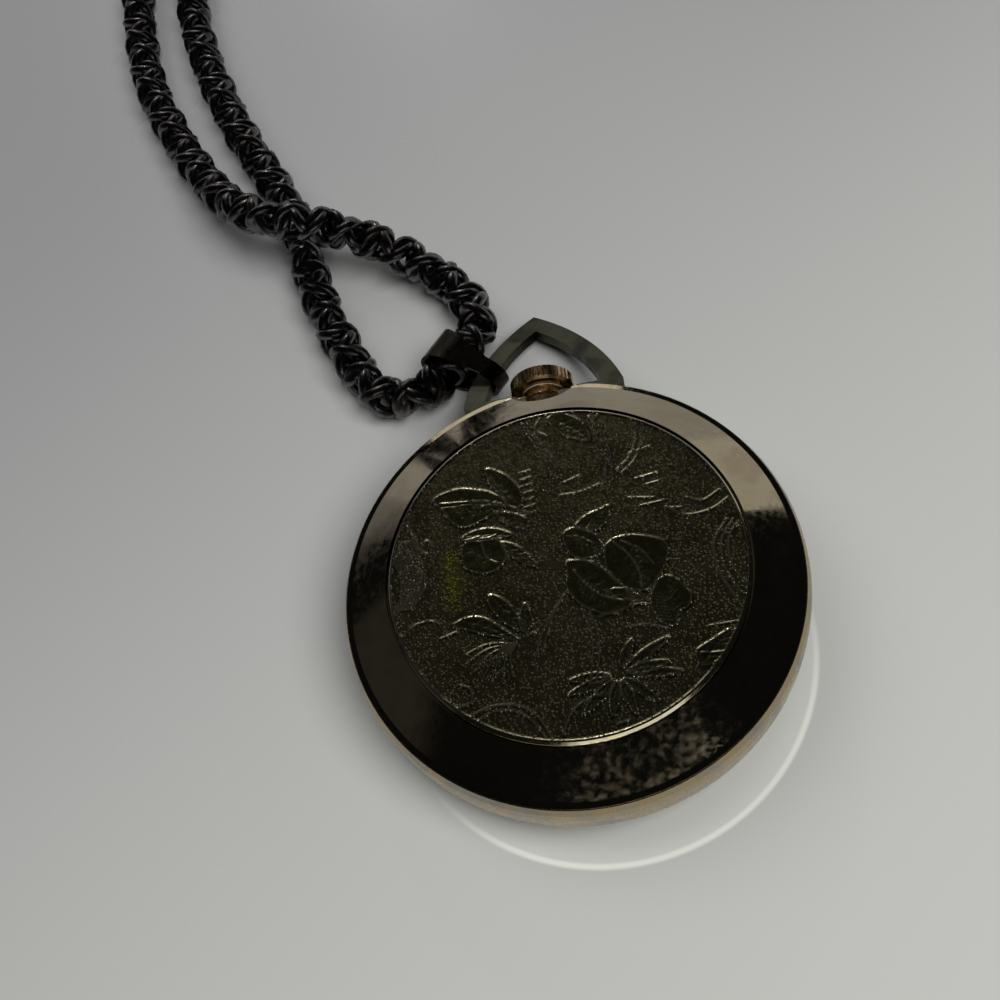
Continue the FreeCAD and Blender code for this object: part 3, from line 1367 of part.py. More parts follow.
pin_length = S.bow_foot_end - S.bow_pin_end
nodes["bow_pins"] = rod(S.bow_pin_radius, pin_length,
                        (S.bow_pin_end, S.pivot_distance, S.stem_height), "x")
join("bow_pins", rod(S.bow_pin_radius, pin_length,
                     (-S.bow_foot_end, S.pivot_distance, S.stem_height), "x"))

BAIL_DEGREES = 138.7
bail_reach = 4.95
bail_inset = 2.4
bail_leg = on_bow(bail_inset - float(S.bow_half_width), bail_reach)
bail_leg_radius = 1.75
bail_round = S.chain_diameter / 2 + 0.2 + S.bail_thick
bail_round_at = 4.0
bail_round_height = bail_round + 0.03


def round_hull(x, low_radius, far_x, height, far_height, far_radius, thick):
    """The space between two round rods side by side, along X, as an extruded shape."""
    distance = math.hypot(far_x - x, far_height - height)
    lean = math.atan2(far_height - height, far_x - x)
    spread = math.acos((low_radius - far_radius) / distance)
    faces = []
    corners = []
    for side in (1, -1):
        angle = lean + side * spread
        touch = Vector(math.cos(angle), 0, math.sin(angle))
        ends = [Vector(x, 0, height) + touch * low_radius,
                Vector(far_x, 0, far_height) + touch * far_radius]
        corners += ends if side > 0 else ends[::-1]
    faces.append(Part.Face(Part.makePolygon(corners + corners[:1])))
    for centre_x, centre_z, radius in ((x, height, low_radius), (far_x, far_height, far_radius)):
        ring = Part.makeCircle(radius, Vector(centre_x, 0, centre_z), Vector(0, 1, 0))
        faces.append(Part.Face(Part.Wire([ring])))
    prisms = [face.extrude(Vector(0, thick, 0)) for face in faces]
    hull = prisms[0].multiFuse(prisms[1:]).removeSplitter()
    hull.translate(Vector(0, -thick / 2, 0))
    return hull


def bail_shape():
    """A closed strap, wide where the chain runs and narrow round the bow's leg."""
    wall = float(S.bail_thick)
    wide = float(S.bail_wide)
    narrow = float(S.bail_narrow)
    far_round = float(bail_round)
    far_height = float(bail_round_height)
    outer = round_hull(0, bail_leg_radius, bail_round_at, bail_leg.z, far_height, far_round, wide)
    inner = round_hull(0, bail_leg_radius - wall, bail_round_at, bail_leg.z, far_height,
                       far_round - wall, wide)
    tip = bail_round_at + far_round
    plan = [Vector(-2, -narrow / 2, 0), Vector(0.5, -narrow / 2, 0), Vector(tip, -wide / 2, 0),
            Vector(tip, wide / 2, 0), Vector(0.5, narrow / 2, 0), Vector(-2, narrow / 2, 0)]
    taper = Part.Face(Part.makePolygon(plan + plan[:1])).extrude(
        Vector(0, 0, far_height + far_round + wall))
    strap = outer.cut(inner).common(taper).removeSplitter()
    strap.rotate(Vector(0, 0, 0), Vector(0, 0, 1), BAIL_DEGREES)
    return strap


solid("bail", bail_shape(), (bail_leg.x, bail_leg.y, 0))

# Chain: the two strands that show, and the rest put away in a coil

CHAIN_EXIT = (-7.85, 26.1, 2.63)
STRAND_OVER = (
    CHAIN_EXIT,
    (-5.55, 28.45, 2.63),
    (-5.2, 32.0, 2.3),
    (-8.2, 36.9, 2.14),
    (-12.0, 40.2, 3.1),
    (-16.0, 42.2, 4.9),
    (-20.2, 43.3, 6.6),
    (-25.2, 45.3, 6.6),
    (-29.2, 49.4, 5.1),
    (-33.0, 56.2, 2.9),
    (-36.6, 63.8, 2.12),
    (-40.2, 73.2, 2.12),
    (-41.9, 84.0, 2.12),
    (-42.6, 95.0, 2.12),
    (-42.3, 105.0, 2.12),
    (-40.0, 114.6, 2.12),
    (-40.0, 123.8, 2.12),
)
STRAND_UNDER = (
    CHAIN_EXIT,
    (-10.15, 23.75, 2.63),
    (-13.55, 23.3, 2.3),
    (-16.35, 24.95, 2.14),
    (-18.45, 29.9, 2.12),
    (-20.9, 36.6, 2.12),
    (-22.2, 42.8, 2.12),
    (-22.9, 48.2, 2.12),
    (-25.6, 54.6, 2.12),
    (-29.2, 62.6, 2.12),
    (-32.5, 72.4, 2.12),
    (-34.8, 82.2, 2.12),
    (-35.5, 90.4, 2.12),
    (-35.4, 97.0, 2.12),
)
lengths = []
for name, route in (("chain_strand_over", STRAND_OVER), ("chain_strand_under", STRAND_UNDER)):
    path, radii = rounded_path(route)
    shape, length, share = tube(path, S.chain_diameter)
    solid(name, shape)
    lengths.append(length)
    print(name, "radii", [round(radius, 1) for radius in radii])
    print(name, "length", round(length, 1), "share of section times length", round(share, 4))

COIL_TURNS = 2.5
CLIMB_START = 1.0
CLIMB_END = 1.5
coil_low = S.chain_diameter / 2 + 0.02


def coil_point(turn):
    """A place on the coil, wound clockwise inwards, up and outwards again."""
    inward = min(turn, CLIMB_START + CLIMB_END - turn)
    radius = float(S.coil_radius) - float(S.coil_step) * inward
    share = min(max((turn - CLIMB_START) / (CLIMB_END - CLIMB_START), 0.0), 1.0)
    lift = (1 - math.cos(math.pi * share)) / 2
    angle = math.pi - 2 * math.pi * turn
    return Vector(float(S.coil_x) + radius * math.cos(angle),
                  float(S.coil_y) + radius * math.sin(angle),
                  float(coil_low) + float(S.coil_layer) * lift)


def coil_heading(turn):
    """The direction along the coil, from two places close together."""
    near = 1e-3
    if turn in (0, COIL_TURNS):
        angle = math.pi - 2 * math.pi * turn
        return Vector(math.sin(angle), -math.cos(angle), 0)
    return (coil_point(turn + near) - coil_point(turn - near)).normalize()


def coil_edges():
    """Arcs for each eighth of a turn, with a straight end of one diameter at each side."""
    count = int(COIL_TURNS * 8)
    turns = [COIL_TURNS * number / count for number in range(count + 1)]
    edges = []
    for turn, after in zip(turns, turns[1:]):
        edges += biarc(coil_point(turn), coil_heading(turn), coil_point(after),
                       coil_heading(after))
    tail = float(S.chain_diameter)
    start = coil_point(0)
    end = coil_point(COIL_TURNS)
    first = Part.LineSegment(start - coil_heading(0) * tail, start).toShape()
    last = Part.LineSegment(end, end + coil_heading(COIL_TURNS) * tail).toShape()
    return [first] + edges + [last]


def least_gap(edges, diameter):
    """The least gap between stretches of a tube that are over three diameters apart on its way."""
    points = []
    distance = 0.0
    for edge in edges:
        for place_on in edge.discretize(12)[:-1]:
            points.append((distance, place_on))
            distance += edge.Length / 11
    least = math.inf
    for number, (here, place_here) in enumerate(points):
        for there, place_there in points[number + 1:]:
            if there - here > 3 * diameter:
                least = min(least, place_here.distanceToPoint(place_there))
    return least - diameter


coil_way = coil_edges()
shape, length, share = tube(coil_way, S.chain_diameter)
solid("chain_coil", shape)
lengths.append(length)
print("chain_coil length", round(length, 1), "share of section times length", round(share, 4),
      "least gap to itself", round(least_gap(coil_way, float(S.chain_diameter)), 2))
print("whole chain", round(sum(lengths), 1))

# Open clasp: a hook on one end and a ring on the other

cap_radius = S.chain_diameter / 2 + 0.15
cap_length = 2.6


def end_fitting(at, heading, loops):
    """A short round cap on the chain's end with what it carries."""
    cap = Part.makeCylinder(float(cap_radius), cap_length, at, heading)
    return cap.multiFuse(loops).removeSplitter()


hook_start = Vector(*STRAND_UNDER[-1])
hook_heading = (hook_start - Vector(*STRAND_UNDER[-2])).normalize()
hook_wire = 0.6
hook_low = hook_wire + 0.05
HOOK = (
    (0.0, 1.6, hook_start.z),
    (0.0, 4.2, 1.6),
    (-0.4, 6.2, hook_low),
    (-1.2, 8.6, hook_low),
    (0.9, 10.4, hook_low),
    (2.6, 8.4, hook_low),
    (2.3, 6.4, hook_low),
)
hook_points = [(hook_start.x + x, hook_start.y + y, z) for x, y, z in HOOK]
hook_path, hook_radii = rounded_path(hook_points)
hook = tube(hook_path, hook_wire * 2)[0]
solid("clasp_hook", end_fitting(hook_start, hook_heading, [hook]))

ring_heading = coil_heading(COIL_TURNS)
ring_start = coil_point(COIL_TURNS) + ring_heading * float(S.chain_diameter)
ring_lean = 25.0
ring_turn = float(S.ring_radius - S.ring_wire / 2)
ring = Part.makeTorus(ring_turn, float(S.ring_wire) / 2)
ring.rotate(Vector(0, 0, 0), Vector(1, 0, 0), ring_lean)
ring_reach = cap_length - 0.2 + ring_turn * math.cos(math.radians(ring_lean))
ring_middle = ring_start + ring_heading * ring_reach
ring_middle.z -= ring_turn * math.sin(math.radians(ring_lean))
ring.translate(ring_middle)
solid("end_ring", end_fitting(ring_start, ring_heading, [ring]))


# Checks, then one file for each sub-part

doc.recompute()
os.makedirs("parts", exist_ok=True)
for thing in doc.Objects:
    if "Invalid" in thing.State or "Error" in thing.State:
        raise RuntimeError(f"{thing.Label} did not build: {thing.State}")
for name, before, after in cuts_to_check:
    if after.Shape.Volume > before.Shape.Volume - 1e-4:
        raise RuntimeError(f"a cut in {name} removed nothing")
for name, thing in nodes.items():
    if thing.Shape.isNull() or not thing.Shape.isValid() or not thing.Shape.Solids:
        raise RuntimeError(f"{name} has no valid solid")
for name, thing in nodes.items():
    thing.Label = name
    thing.Shape.exportStep(f"parts/{name}.step")
print(len(nodes), "sub-parts written")
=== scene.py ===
import json
import logging
import math
from dataclasses import dataclass
from enum import Enum

import bpy
import numpy as np
from mathutils import Matrix, Vector


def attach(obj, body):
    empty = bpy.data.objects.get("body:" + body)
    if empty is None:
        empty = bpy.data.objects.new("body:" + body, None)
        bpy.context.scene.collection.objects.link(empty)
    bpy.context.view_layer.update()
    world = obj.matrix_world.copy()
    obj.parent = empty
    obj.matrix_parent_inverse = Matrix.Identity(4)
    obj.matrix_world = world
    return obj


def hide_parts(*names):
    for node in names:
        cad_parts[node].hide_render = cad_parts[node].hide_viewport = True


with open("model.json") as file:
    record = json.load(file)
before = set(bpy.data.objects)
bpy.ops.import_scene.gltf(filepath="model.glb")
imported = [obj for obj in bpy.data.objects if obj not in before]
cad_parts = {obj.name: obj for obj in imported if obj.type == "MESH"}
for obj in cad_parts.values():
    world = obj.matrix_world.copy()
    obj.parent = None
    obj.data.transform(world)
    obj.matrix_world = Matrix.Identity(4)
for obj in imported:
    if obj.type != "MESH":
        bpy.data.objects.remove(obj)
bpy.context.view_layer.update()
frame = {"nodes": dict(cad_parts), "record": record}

LOG = logging.getLogger("pendant_watch")
MM = 0.001
TAU = 2 * math.pi
Socket = bpy.types.NodeSocket
Value = float | bpy.types.NodeSocket


# Mesh helpers


def grid_quads(rows: int, columns: int, wrap_rows: bool = False, wrap_columns: bool = False) -> np.ndarray:
    """Faces of a grid of points.

    Args:
        rows: Number of point rows.
        columns: Number of points in a row.
        wrap_rows: Whether the last row joins the first.
        wrap_columns: Whether each row closes on itself.

    Returns:
        The corner numbers of each quad.
    """
    row = np.arange(rows if wrap_rows else rows - 1)[:, None]
    column = np.arange(columns if wrap_columns else columns - 1)[None, :]
    after_row = (row + 1) % rows
    after_column = (column + 1) % columns
    corners = [row * columns + column, row * columns + after_column,
               after_row * columns + after_column, after_row * columns + column]
    return np.stack(corners, axis=-1).reshape(-1, 4)


def mesh_object(name: str, points: np.ndarray, faces: list, smooth: bool = True) -> bpy.types.Object:
    """A linked mesh object.

    Args:
        name: Name of the object and its mesh.
        points: Vertex places in millimetres.
        faces: Corner numbers of each face.
        smooth: Whether the faces are shaded smooth.

    Returns:
        The new object, at the origin.
    """
    mesh = bpy.data.meshes.new(name)
    mesh.from_pydata((np.asarray(points) * MM).tolist(), [], faces)
    mesh.polygons.foreach_set("use_smooth", np.full(len(mesh.polygons), smooth))
    mesh.update()
    thing = bpy.data.objects.new(name, mesh)
    bpy.context.scene.collection.objects.link(thing)
    return thing


def store(thing: bpy.types.Object, name: str, values: np.ndarray) -> None:
    """Keep one number per vertex for the materials.

    Args:
        thing: The mesh object.
        name: Name of the attribute.
        values: One value for each vertex.
    """
    layer = thing.data.attributes.new(name, "FLOAT", "POINT")
    layer.data.foreach_set("value", values.astype(np.float32))


def soft_step(values: np.ndarray, low: float, high: float) -> np.ndarray:
    """A smooth rise from 0 at low to 1 at high.

    Args:
        values: Places to look at.
        low: Where the rise starts.
        high: Where it ends; less than low for a fall.

    Returns:
        The heights, from 0 to 1.
    """
    share = np.clip((values - low) / (high - low), 0.0, 1.0)
    return share * share * (3 - 2 * share)


def through(points: np.ndarray, closed: bool = False, steps: int = 8) -> np.ndarray:
    """A smooth line through points.

    Args:
        points: The points, one per row.
        closed: Whether the line comes back to its start.
        steps: How many places are made for each point.

    Returns:
        Places along the line.
    """
    points = np.asarray(points, float)
    if closed:
        ring = np.concatenate([points[-1:], points, points[:2]])
    else:
        ring = np.concatenate([2 * points[:1] - points[1:2], points, 2 * points[-1:] - points[-2:-1]])
    t = (np.arange(steps) / steps)[None, :, None]
    a, b, c, d = (ring[k:len(ring) - 3 + k, None, :] for k in range(4))
    curve = 0.5 * (2 * b + (c - a) * t + (2 * a - 5 * b + 4 * c - d) * t ** 2
                   + (3 * b - a - 3 * c + d) * t ** 3)
    line = curve.reshape(-1, points.shape[1])
    return line if closed else np.concatenate([line, points[-1:]])


# Node trees and finishes


class Shader:
    """A material's node tree in which plain values are set on sockets and sockets are linked."""

    def __init__(self, name: str) -> None:
        """Start an empty tree.

        Args:
            name: Name of the material.
        """
        self.material = bpy.data.materials.new(name)
        self.material.use_nodes = True
        self.tree = self.material.node_tree
        self.tree.nodes.clear()

    def node(self, kind: str, settings: dict | None = None, **inputs: Value | tuple) -> bpy.types.Node:
        """Add a node.

        Args:
            kind: Node type without the ShaderNode prefix.
            settings: Properties of the node.
            **inputs: Socket values; an underscore stands for a space and inN for socket N.

        Returns:
            The node.
        """
        node = self.tree.nodes.new("ShaderNode" + kind)
        for key, value in (settings or {}).items():
            setattr(node, key, value)
        for key, value in inputs.items():
            number = key[2:]
            socket = node.inputs[int(number) if key.startswith("in") and number.isdigit()
                                 else key.replace("_", " ")]
            if isinstance(value, bpy.types.NodeSocket):
                self.tree.links.new(value, socket)
            else:
                socket.default_value = value
        return node

    def place(self, stretch: tuple = (1000.0, 1000.0, 1000.0)) -> Socket:
        """Object coordinates in millimetres, stretched by axis."""
        where = self.node("TexCoord").outputs["Object"]
        return self.node("Mapping", in0=where, in3=stretch).outputs[0]

    def around(self, fine: float = 40.0, coarse: float = 2.0) -> Socket:
        """Coordinates of radius, height and angle about Z, for grain that runs round the case.

        Args:
            fine: How often the grain changes in a millimetre across it.
            coarse: How often it changes in a radian along it.

        Returns:
            The coordinates.
        """
        x, y, z = self.node("SeparateXYZ", in0=self.node("TexCoord").outputs["Object"]).outputs
        radius = self.reach(x, y)
        angle = self.calc("ARCTAN2", y, x)
        return self.node("CombineXYZ", in0=self.calc("MULTIPLY", radius, fine / MM),
                         in1=self.calc("MULTIPLY", z, fine / MM),
                         in2=self.calc("MULTIPLY", angle, coarse)).outputs[0]

    def reach(self, x: Socket, y: Socket) -> Socket:
        """The root of the sum of two squares."""
        squares = self.calc("ADD", self.calc("MULTIPLY", x, x), self.calc("MULTIPLY", y, y))
        return self.calc("SQRT", squares)

    def calc(self, kind: str, first: Value, second: Value = 0.0) -> Socket:
        """A calculation with one or two values."""
        return self.node("Math", {"operation": kind}, in0=first, in1=second).outputs[0]

    def noise(self, where: Socket, scale: float, detail: float = 4.0, distortion: float = 0.0) -> Socket:
        """Noise at a place."""
        return self.node("TexNoise", Vector=where, Scale=scale, Detail=detail,
                         Distortion=distortion).outputs[0]

    def cells(self, where: Socket, scale: float, feature: str = "F1") -> Socket:
        """Distances in a pattern of random cells."""
        return self.node("TexVoronoi", {"feature": feature}, Vector=where, Scale=scale).outputs["Distance"]

    def between(self, value: Socket, low: float, high: float, to_low: float = 0.0,
                to_high: float = 1.0) -> Socket:
        """A value carried smoothly from one range into another."""
        return self.node("MapRange", {"interpolation_type": "SMOOTHSTEP"}, Value=value, From_Min=low,
                         From_Max=high, To_Min=to_low, To_Max=to_high).outputs[0]

    def mix(self, share: Socket, first: Socket | tuple, second: Socket | tuple) -> Socket:
        """A mix of two colours.

        Args:
            share: How much of the second colour shows.
            first: A socket or a plain colour.
            second: A socket or a plain colour.

        Returns:
            The mixed colour.
        """
        node = self.node("Mix", {"data_type": "RGBA"}, in0=share)
        for number, value in ((6, first), (7, second)):
            if isinstance(value, bpy.types.NodeSocket):
                self.tree.links.new(value, node.inputs[number])
            else:
                node.inputs[number].default_value = (*value, 1.0)
        return node.outputs[2]

    def bump(self, height: Socket, strength: float, distance: float, normal: Socket | None = None) -> Socket:
        """A bumped normal.

        Args:
            height: Height of the relief, from 0 to 1.
            strength: How much of the relief shows.
            distance: Depth of the relief in millimetres.
            normal: A bumped normal to build on.

        Returns:
            The new normal.
        """
        extra = {} if normal is None else {"Normal": normal}
        return self.node("Bump", Height=height, Strength=strength, Distance=distance * MM,
                         **extra).outputs[0]

    def finish(self, **inputs: Value | tuple) -> bpy.types.Material:
        """Close the tree with a principled surface."""
        surface = self.node("BsdfPrincipled", **inputs)
        self.node("OutputMaterial", Surface=surface.outputs[0])
        return self.material


class Grain(Enum):
    """Ways in which metal is worked."""

    POLISHED = "polished"
    RINGS = "turned round the case"
    LINES = "brushed along"
    FROST = "frosted"


@dataclass(frozen=True)
class Metal:
    """A worn metal finish."""

    name: str
    colour: tuple
    worn: tuple
    roughness: float
    grain: Grain = Grain.POLISHED
    grain_depth: float = 0.15
    scratches: float = 0.2
    patina: float = 0.5
    patina_size: float = 0.35

    def material(self) -> bpy.types.Material:
        """Build the node tree.

        Returns:
            The material.
        """
        s = Shader(self.name)
        where = s.place()
        stain = s.noise(where, self.patina_size, 8.0, 0.6)
        worn = s.calc("MULTIPLY", s.between(stain, 0.45, 0.66), self.patina)
        colour = s.mix(worn, self.colour, self.worn)
        fine = s.noise(where, 9.0, 3.0)
        roughness = s.calc("ADD", s.between(s.noise(where, 1.7, 5.0), 0.3, 0.75, -0.04, 0.08),
                           s.calc("ADD", s.calc("MULTIPLY", worn, 0.12), self.roughness))
        if self.grain is Grain.RINGS:
            relief = s.noise(s.around(), 1.0, 2.0)
        elif self.grain is Grain.LINES:
            relief = s.noise(s.place((24000.0, 700.0, 24000.0)), 1.0, 2.0)
        elif self.grain is Grain.FROST:
            relief = s.noise(where, 26.0, 3.0)
        else:
            relief = s.noise(where, 0.9, 2.0)
        normal = s.bump(relief, self.grain_depth, 0.02)
        hair = s.cells(s.place((260.0, 3100.0, 900.0)), 1.0, "DISTANCE_TO_EDGE")
        cross = s.cells(s.place((2700.0, 240.0, 900.0)), 1.0, "DISTANCE_TO_EDGE")
        lines = s.between(s.calc("MINIMUM", hair, cross), 0.0, 0.035, 0.0, 1.0)
        normal = s.bump(s.calc("ADD", lines, s.calc("MULTIPLY", fine, 0.3)), self.scratches, 0.01, normal)
        return s.finish(Base_Color=colour, Metallic=1.0, Roughness=roughness, Normal=normal)


@dataclass(frozen=True)
class EngravedBrass:
    """Darkened brass with a stippled ground and bright raised lines, whose colour also paints glints on the
    bead tips and a highlight on the rim border.
    """

    name: str
    ground: tuple = (0.24, 0.215, 0.125)
    smooth: tuple = (0.14, 0.135, 0.065)
    # Bright colour of the raised lines; it also gives the painted glints on the bead tips and the painted
    # highlight on the rim border.
    line: tuple = (0.72, 0.67, 0.50)
    patch: tuple = (0.36, 0.37, 0.06)

    def material(self) -> bpy.types.Material:
        """Build the node tree.

        Returns:
            The material.
        """
        s = Shader(self.name)
        where = s.place()
        ground = s.node("Attribute", {"attribute_name": "ground"}).outputs["Fac"]
        line = s.node("Attribute", {"attribute_name": "line"}).outputs["Fac"]
        patch = s.node("Attribute", {"attribute_name": "patch"}).outputs["Fac"]
        tarnish = s.between(s.noise(where, 0.28, 6.0, 0.8), 0.4, 0.65)
        base = s.mix(ground, self.smooth, self.ground)
        base = s.mix(s.calc("MULTIPLY", tarnish, 0.5), base, (0.10, 0.095, 0.05))
        patched = s.between(s.calc("MULTIPLY", patch, s.noise(where, 1.4, 6.0)), 0.25, 0.6)
        base = s.mix(patched, base, self.patch)
        dots = s.cells(where, 3.9)
        beads = s.calc("MULTIPLY", s.between(dots, 0.05, 0.42, 1.0, 0.0), ground)
        # Painted glints: the tips of the beads get the bright line colour.
        painted_bead_glints = s.between(beads, 0.75, 1.0, 0.0, 0.55)
        # The raised lines' own bright colour, joined with the painted glints and with the painted rim highlight
        # that comes in through the line attribute.
        lines_and_painted_glints = s.calc("MAXIMUM", s.calc("MULTIPLY", line, 0.9), painted_bead_glints)
        colour = s.mix(lines_and_painted_glints, base, self.line)
        roughness = s.calc("SUBTRACT", s.between(s.noise(where, 2.2, 5.0), 0.3, 0.7, 0.20, 0.32),
                           s.calc("MULTIPLY", lines_and_painted_glints, 0.12))
        normal = s.bump(s.noise(where, 14.0, 4.0), 0.12, 0.02)
        normal = s.bump(beads, 1.0, 0.1, normal)
        return s.finish(Base_Color=colour, Metallic=1.0, Roughness=roughness, Normal=normal)


@dataclass(frozen=True)
class Enamel:
    """A smooth coat with faint ageing."""

    name: str
    colour: tuple
    aged: tuple
    roughness: float = 0.3

    def material(self) -> bpy.types.Material:
        """Build the node tree.

        Returns:
            The material.
        """
        s = Shader(self.name)
        where = s.place()
        colour = s.mix(s.between(s.noise(where, 0.5, 6.0), 0.4, 0.75), self.colour, self.aged)
        normal = s.bump(s.noise(where, 12.0, 3.0), 0.08, 0.02)
        rough = s.between(s.noise(where, 2.0, 4.0), 0.3, 0.7, self.roughness - 0.05, self.roughness + 0.08)
        return s.finish(Base_Color=colour, Roughness=rough, Normal=normal)


@dataclass(frozen=True)
class Clear:
    """Glass, crystal or ruby."""

    name: str
    colour: tuple
    index: float = 1.5

    def material(self) -> bpy.types.Material:
        """Build the node tree.

        Returns:
            The material.
        """
        s = Shader(self.name)
        where = s.place()
        rough = s.between(s.noise(where, 1.5, 6.0), 0.4, 0.8, 0.01, 0.09)
        normal = s.bump(s.noise(where, 0.6, 2.0), 0.03, 0.02)
        colour = s.mix(s.between(s.noise(where, 0.8, 4.0), 0.3, 0.8, 0.0, 0.2), self.colour, (0.9, 0.92, 0.9))
        return s.finish(Base_Color=colour, Roughness=rough, IOR=self.index, Normal=normal,
                        Transmission_Weight=1.0)


FINISHES = {
    "case_gold": Metal("case gold", (0.42, 0.33, 0.20), (0.36, 0.34, 0.31), 0.24, Grain.RINGS, 0.35, 0.3, 0.9),
    "back_polish": Metal("polished back", (0.50, 0.44, 0.32), (0.34, 0.25, 0.17), 0.07, Grain.POLISHED, 0.03,
                         0.03, 0.4),
    "disc_brass": EngravedBrass("engraved brass"),
    "crown_copper": Metal("copper crown", (0.80, 0.58, 0.34), (0.40, 0.27, 0.15), 0.20, Grain.POLISHED,
                          0.1, 0.1, 0.8, 1.2),
    "bow_steel": Metal("bow steel", (0.062, 0.062, 0.045), (0.035, 0.035, 0.026), 0.36, Grain.FROST, 0.12, 0.15,
                       0.8),
    "pin_steel": Metal("pin steel", (0.40, 0.38, 0.33), (0.15, 0.13, 0.11), 0.22),
    "bail_steel": Metal("bail steel", (0.045, 0.04, 0.033), (0.025, 0.02, 0.017), 0.24, Grain.LINES, 0.1, 0.2,
                        0.8),
    "chain_gunmetal": Metal("gunmetal", (0.15, 0.145, 0.15), (0.07, 0.06, 0.06), 0.24, Grain.POLISHED, 0.1,
                            0.15, 0.9, 0.8),
    "crystal": Clear("crystal", (0.96, 0.98, 0.97)),
    "gasket": Enamel("gasket", (0.80, 0.78, 0.70), (0.62, 0.57, 0.46), 0.45),
    "dial": Enamel("dial enamel", (0.83, 0.79, 0.68), (0.70, 0.63, 0.48), 0.32),
    "markers": Metal("dark markers", (0.20, 0.15, 0.09), (0.08, 0.06, 0.04), 0.2),
    "hands": Metal("blued hands", (0.03, 0.045, 0.13), (0.02, 0.02, 0.05), 0.15),
    "plate": Metal("nickel plate", (0.62, 0.58, 0.50), (0.45, 0.40, 0.31), 0.30, Grain.LINES, 0.35, 0.1, 0.5),
    "wheel_brass": Metal("wheel brass", (0.70, 0.52, 0.24), (0.50, 0.34, 0.14), 0.25, Grain.LINES, 0.2, 0.1),
    "steel": Metal("polished steel", (0.56, 0.56, 0.56), (0.35, 0.34, 0.33), 0.18, Grain.LINES, 0.1, 0.1, 0.4),
    "ruby": Clear("ruby", (0.75, 0.03, 0.12), 1.76),
    "spring_steel": Metal("spring steel", (0.20, 0.25, 0.40), (0.12, 0.13, 0.18), 0.2),
    "ring_plastic": Metal("turned ring", (0.45, 0.43, 0.39), (0.30, 0.28, 0.25), 0.3, Grain.RINGS, 0.3),
}


class Paint:
    """Gives each material slot one material."""

    def __init__(self) -> None:
        """Make every finish once."""
        self.made = {slot: finish.material() for slot, finish in FINISHES.items()}

    def put(self, thing: bpy.types.Object, slot: str) -> bpy.types.Object:
        """Finish a piece.

        Args:
            thing: The piece.
            slot: Name of the material slot.

        Returns:
            The same piece.
        """
        thing.data.materials.clear()
        thing.data.materials.append(self.made[slot])
        return thing


# Camera, table and light


@dataclass(frozen=True)
class Panel:
    """A glowing patch of the surroundings, between two azimuths and two elevations in degrees."""

    name: str
    start: float
    end: float
    low: float
    high: float
    glow: float
    tint: tuple = (1.0, 0.975, 0.90, 1.0)
    away: float = 1000.0
    rows: int = 8
    columns: int = 24

    def build(self) -> None:
        """Make the patch of a sphere that only mirrors see."""
        s = Shader(self.name)
        light = s.node("Emission", Color=self.tint, Strength=self.glow)
        s.node("OutputMaterial", Surface=light.outputs[0])
        angle, rise = np.meshgrid(np.radians(np.linspace(self.start, self.end, self.columns)),
                                  np.radians(np.linspace(self.low, self.high, self.rows)))
        points = np.stack([np.cos(angle) * np.cos(rise), np.sin(angle) * np.cos(rise), np.sin(rise)], axis=-1)
        panel = mesh_object(self.name, self.away * points.reshape(-1, 3),
                            grid_quads(self.rows, self.columns).tolist())
        panel.data.materials.append(s.material)
        panel.visible_diffuse = False
        panel.visible_shadow = False
        panel.visible_camera = False


@dataclass(frozen=True)
class Lamp:
    """A round lamp that faces the watch; places and sizes are in millimetres."""

    name: str
    at: tuple
    size: float
    watts: float
    mirrored: bool = False

    def build(self) -> None:
        """Make the lamp."""
        data = bpy.data.lights.new(self.name, "AREA")
        data.shape = "DISK"
        data.size = self.size * MM
        data.energy = self.watts
        lamp = bpy.data.objects.new(self.name, data)
        lamp.location = Vector(self.at) * MM
        lamp.rotation_euler = (-Vector(self.at)).to_track_quat("-Z", "Y").to_euler()
        lamp.visible_glossy = self.mirrored
        bpy.context.scene.collection.objects.link(lamp)


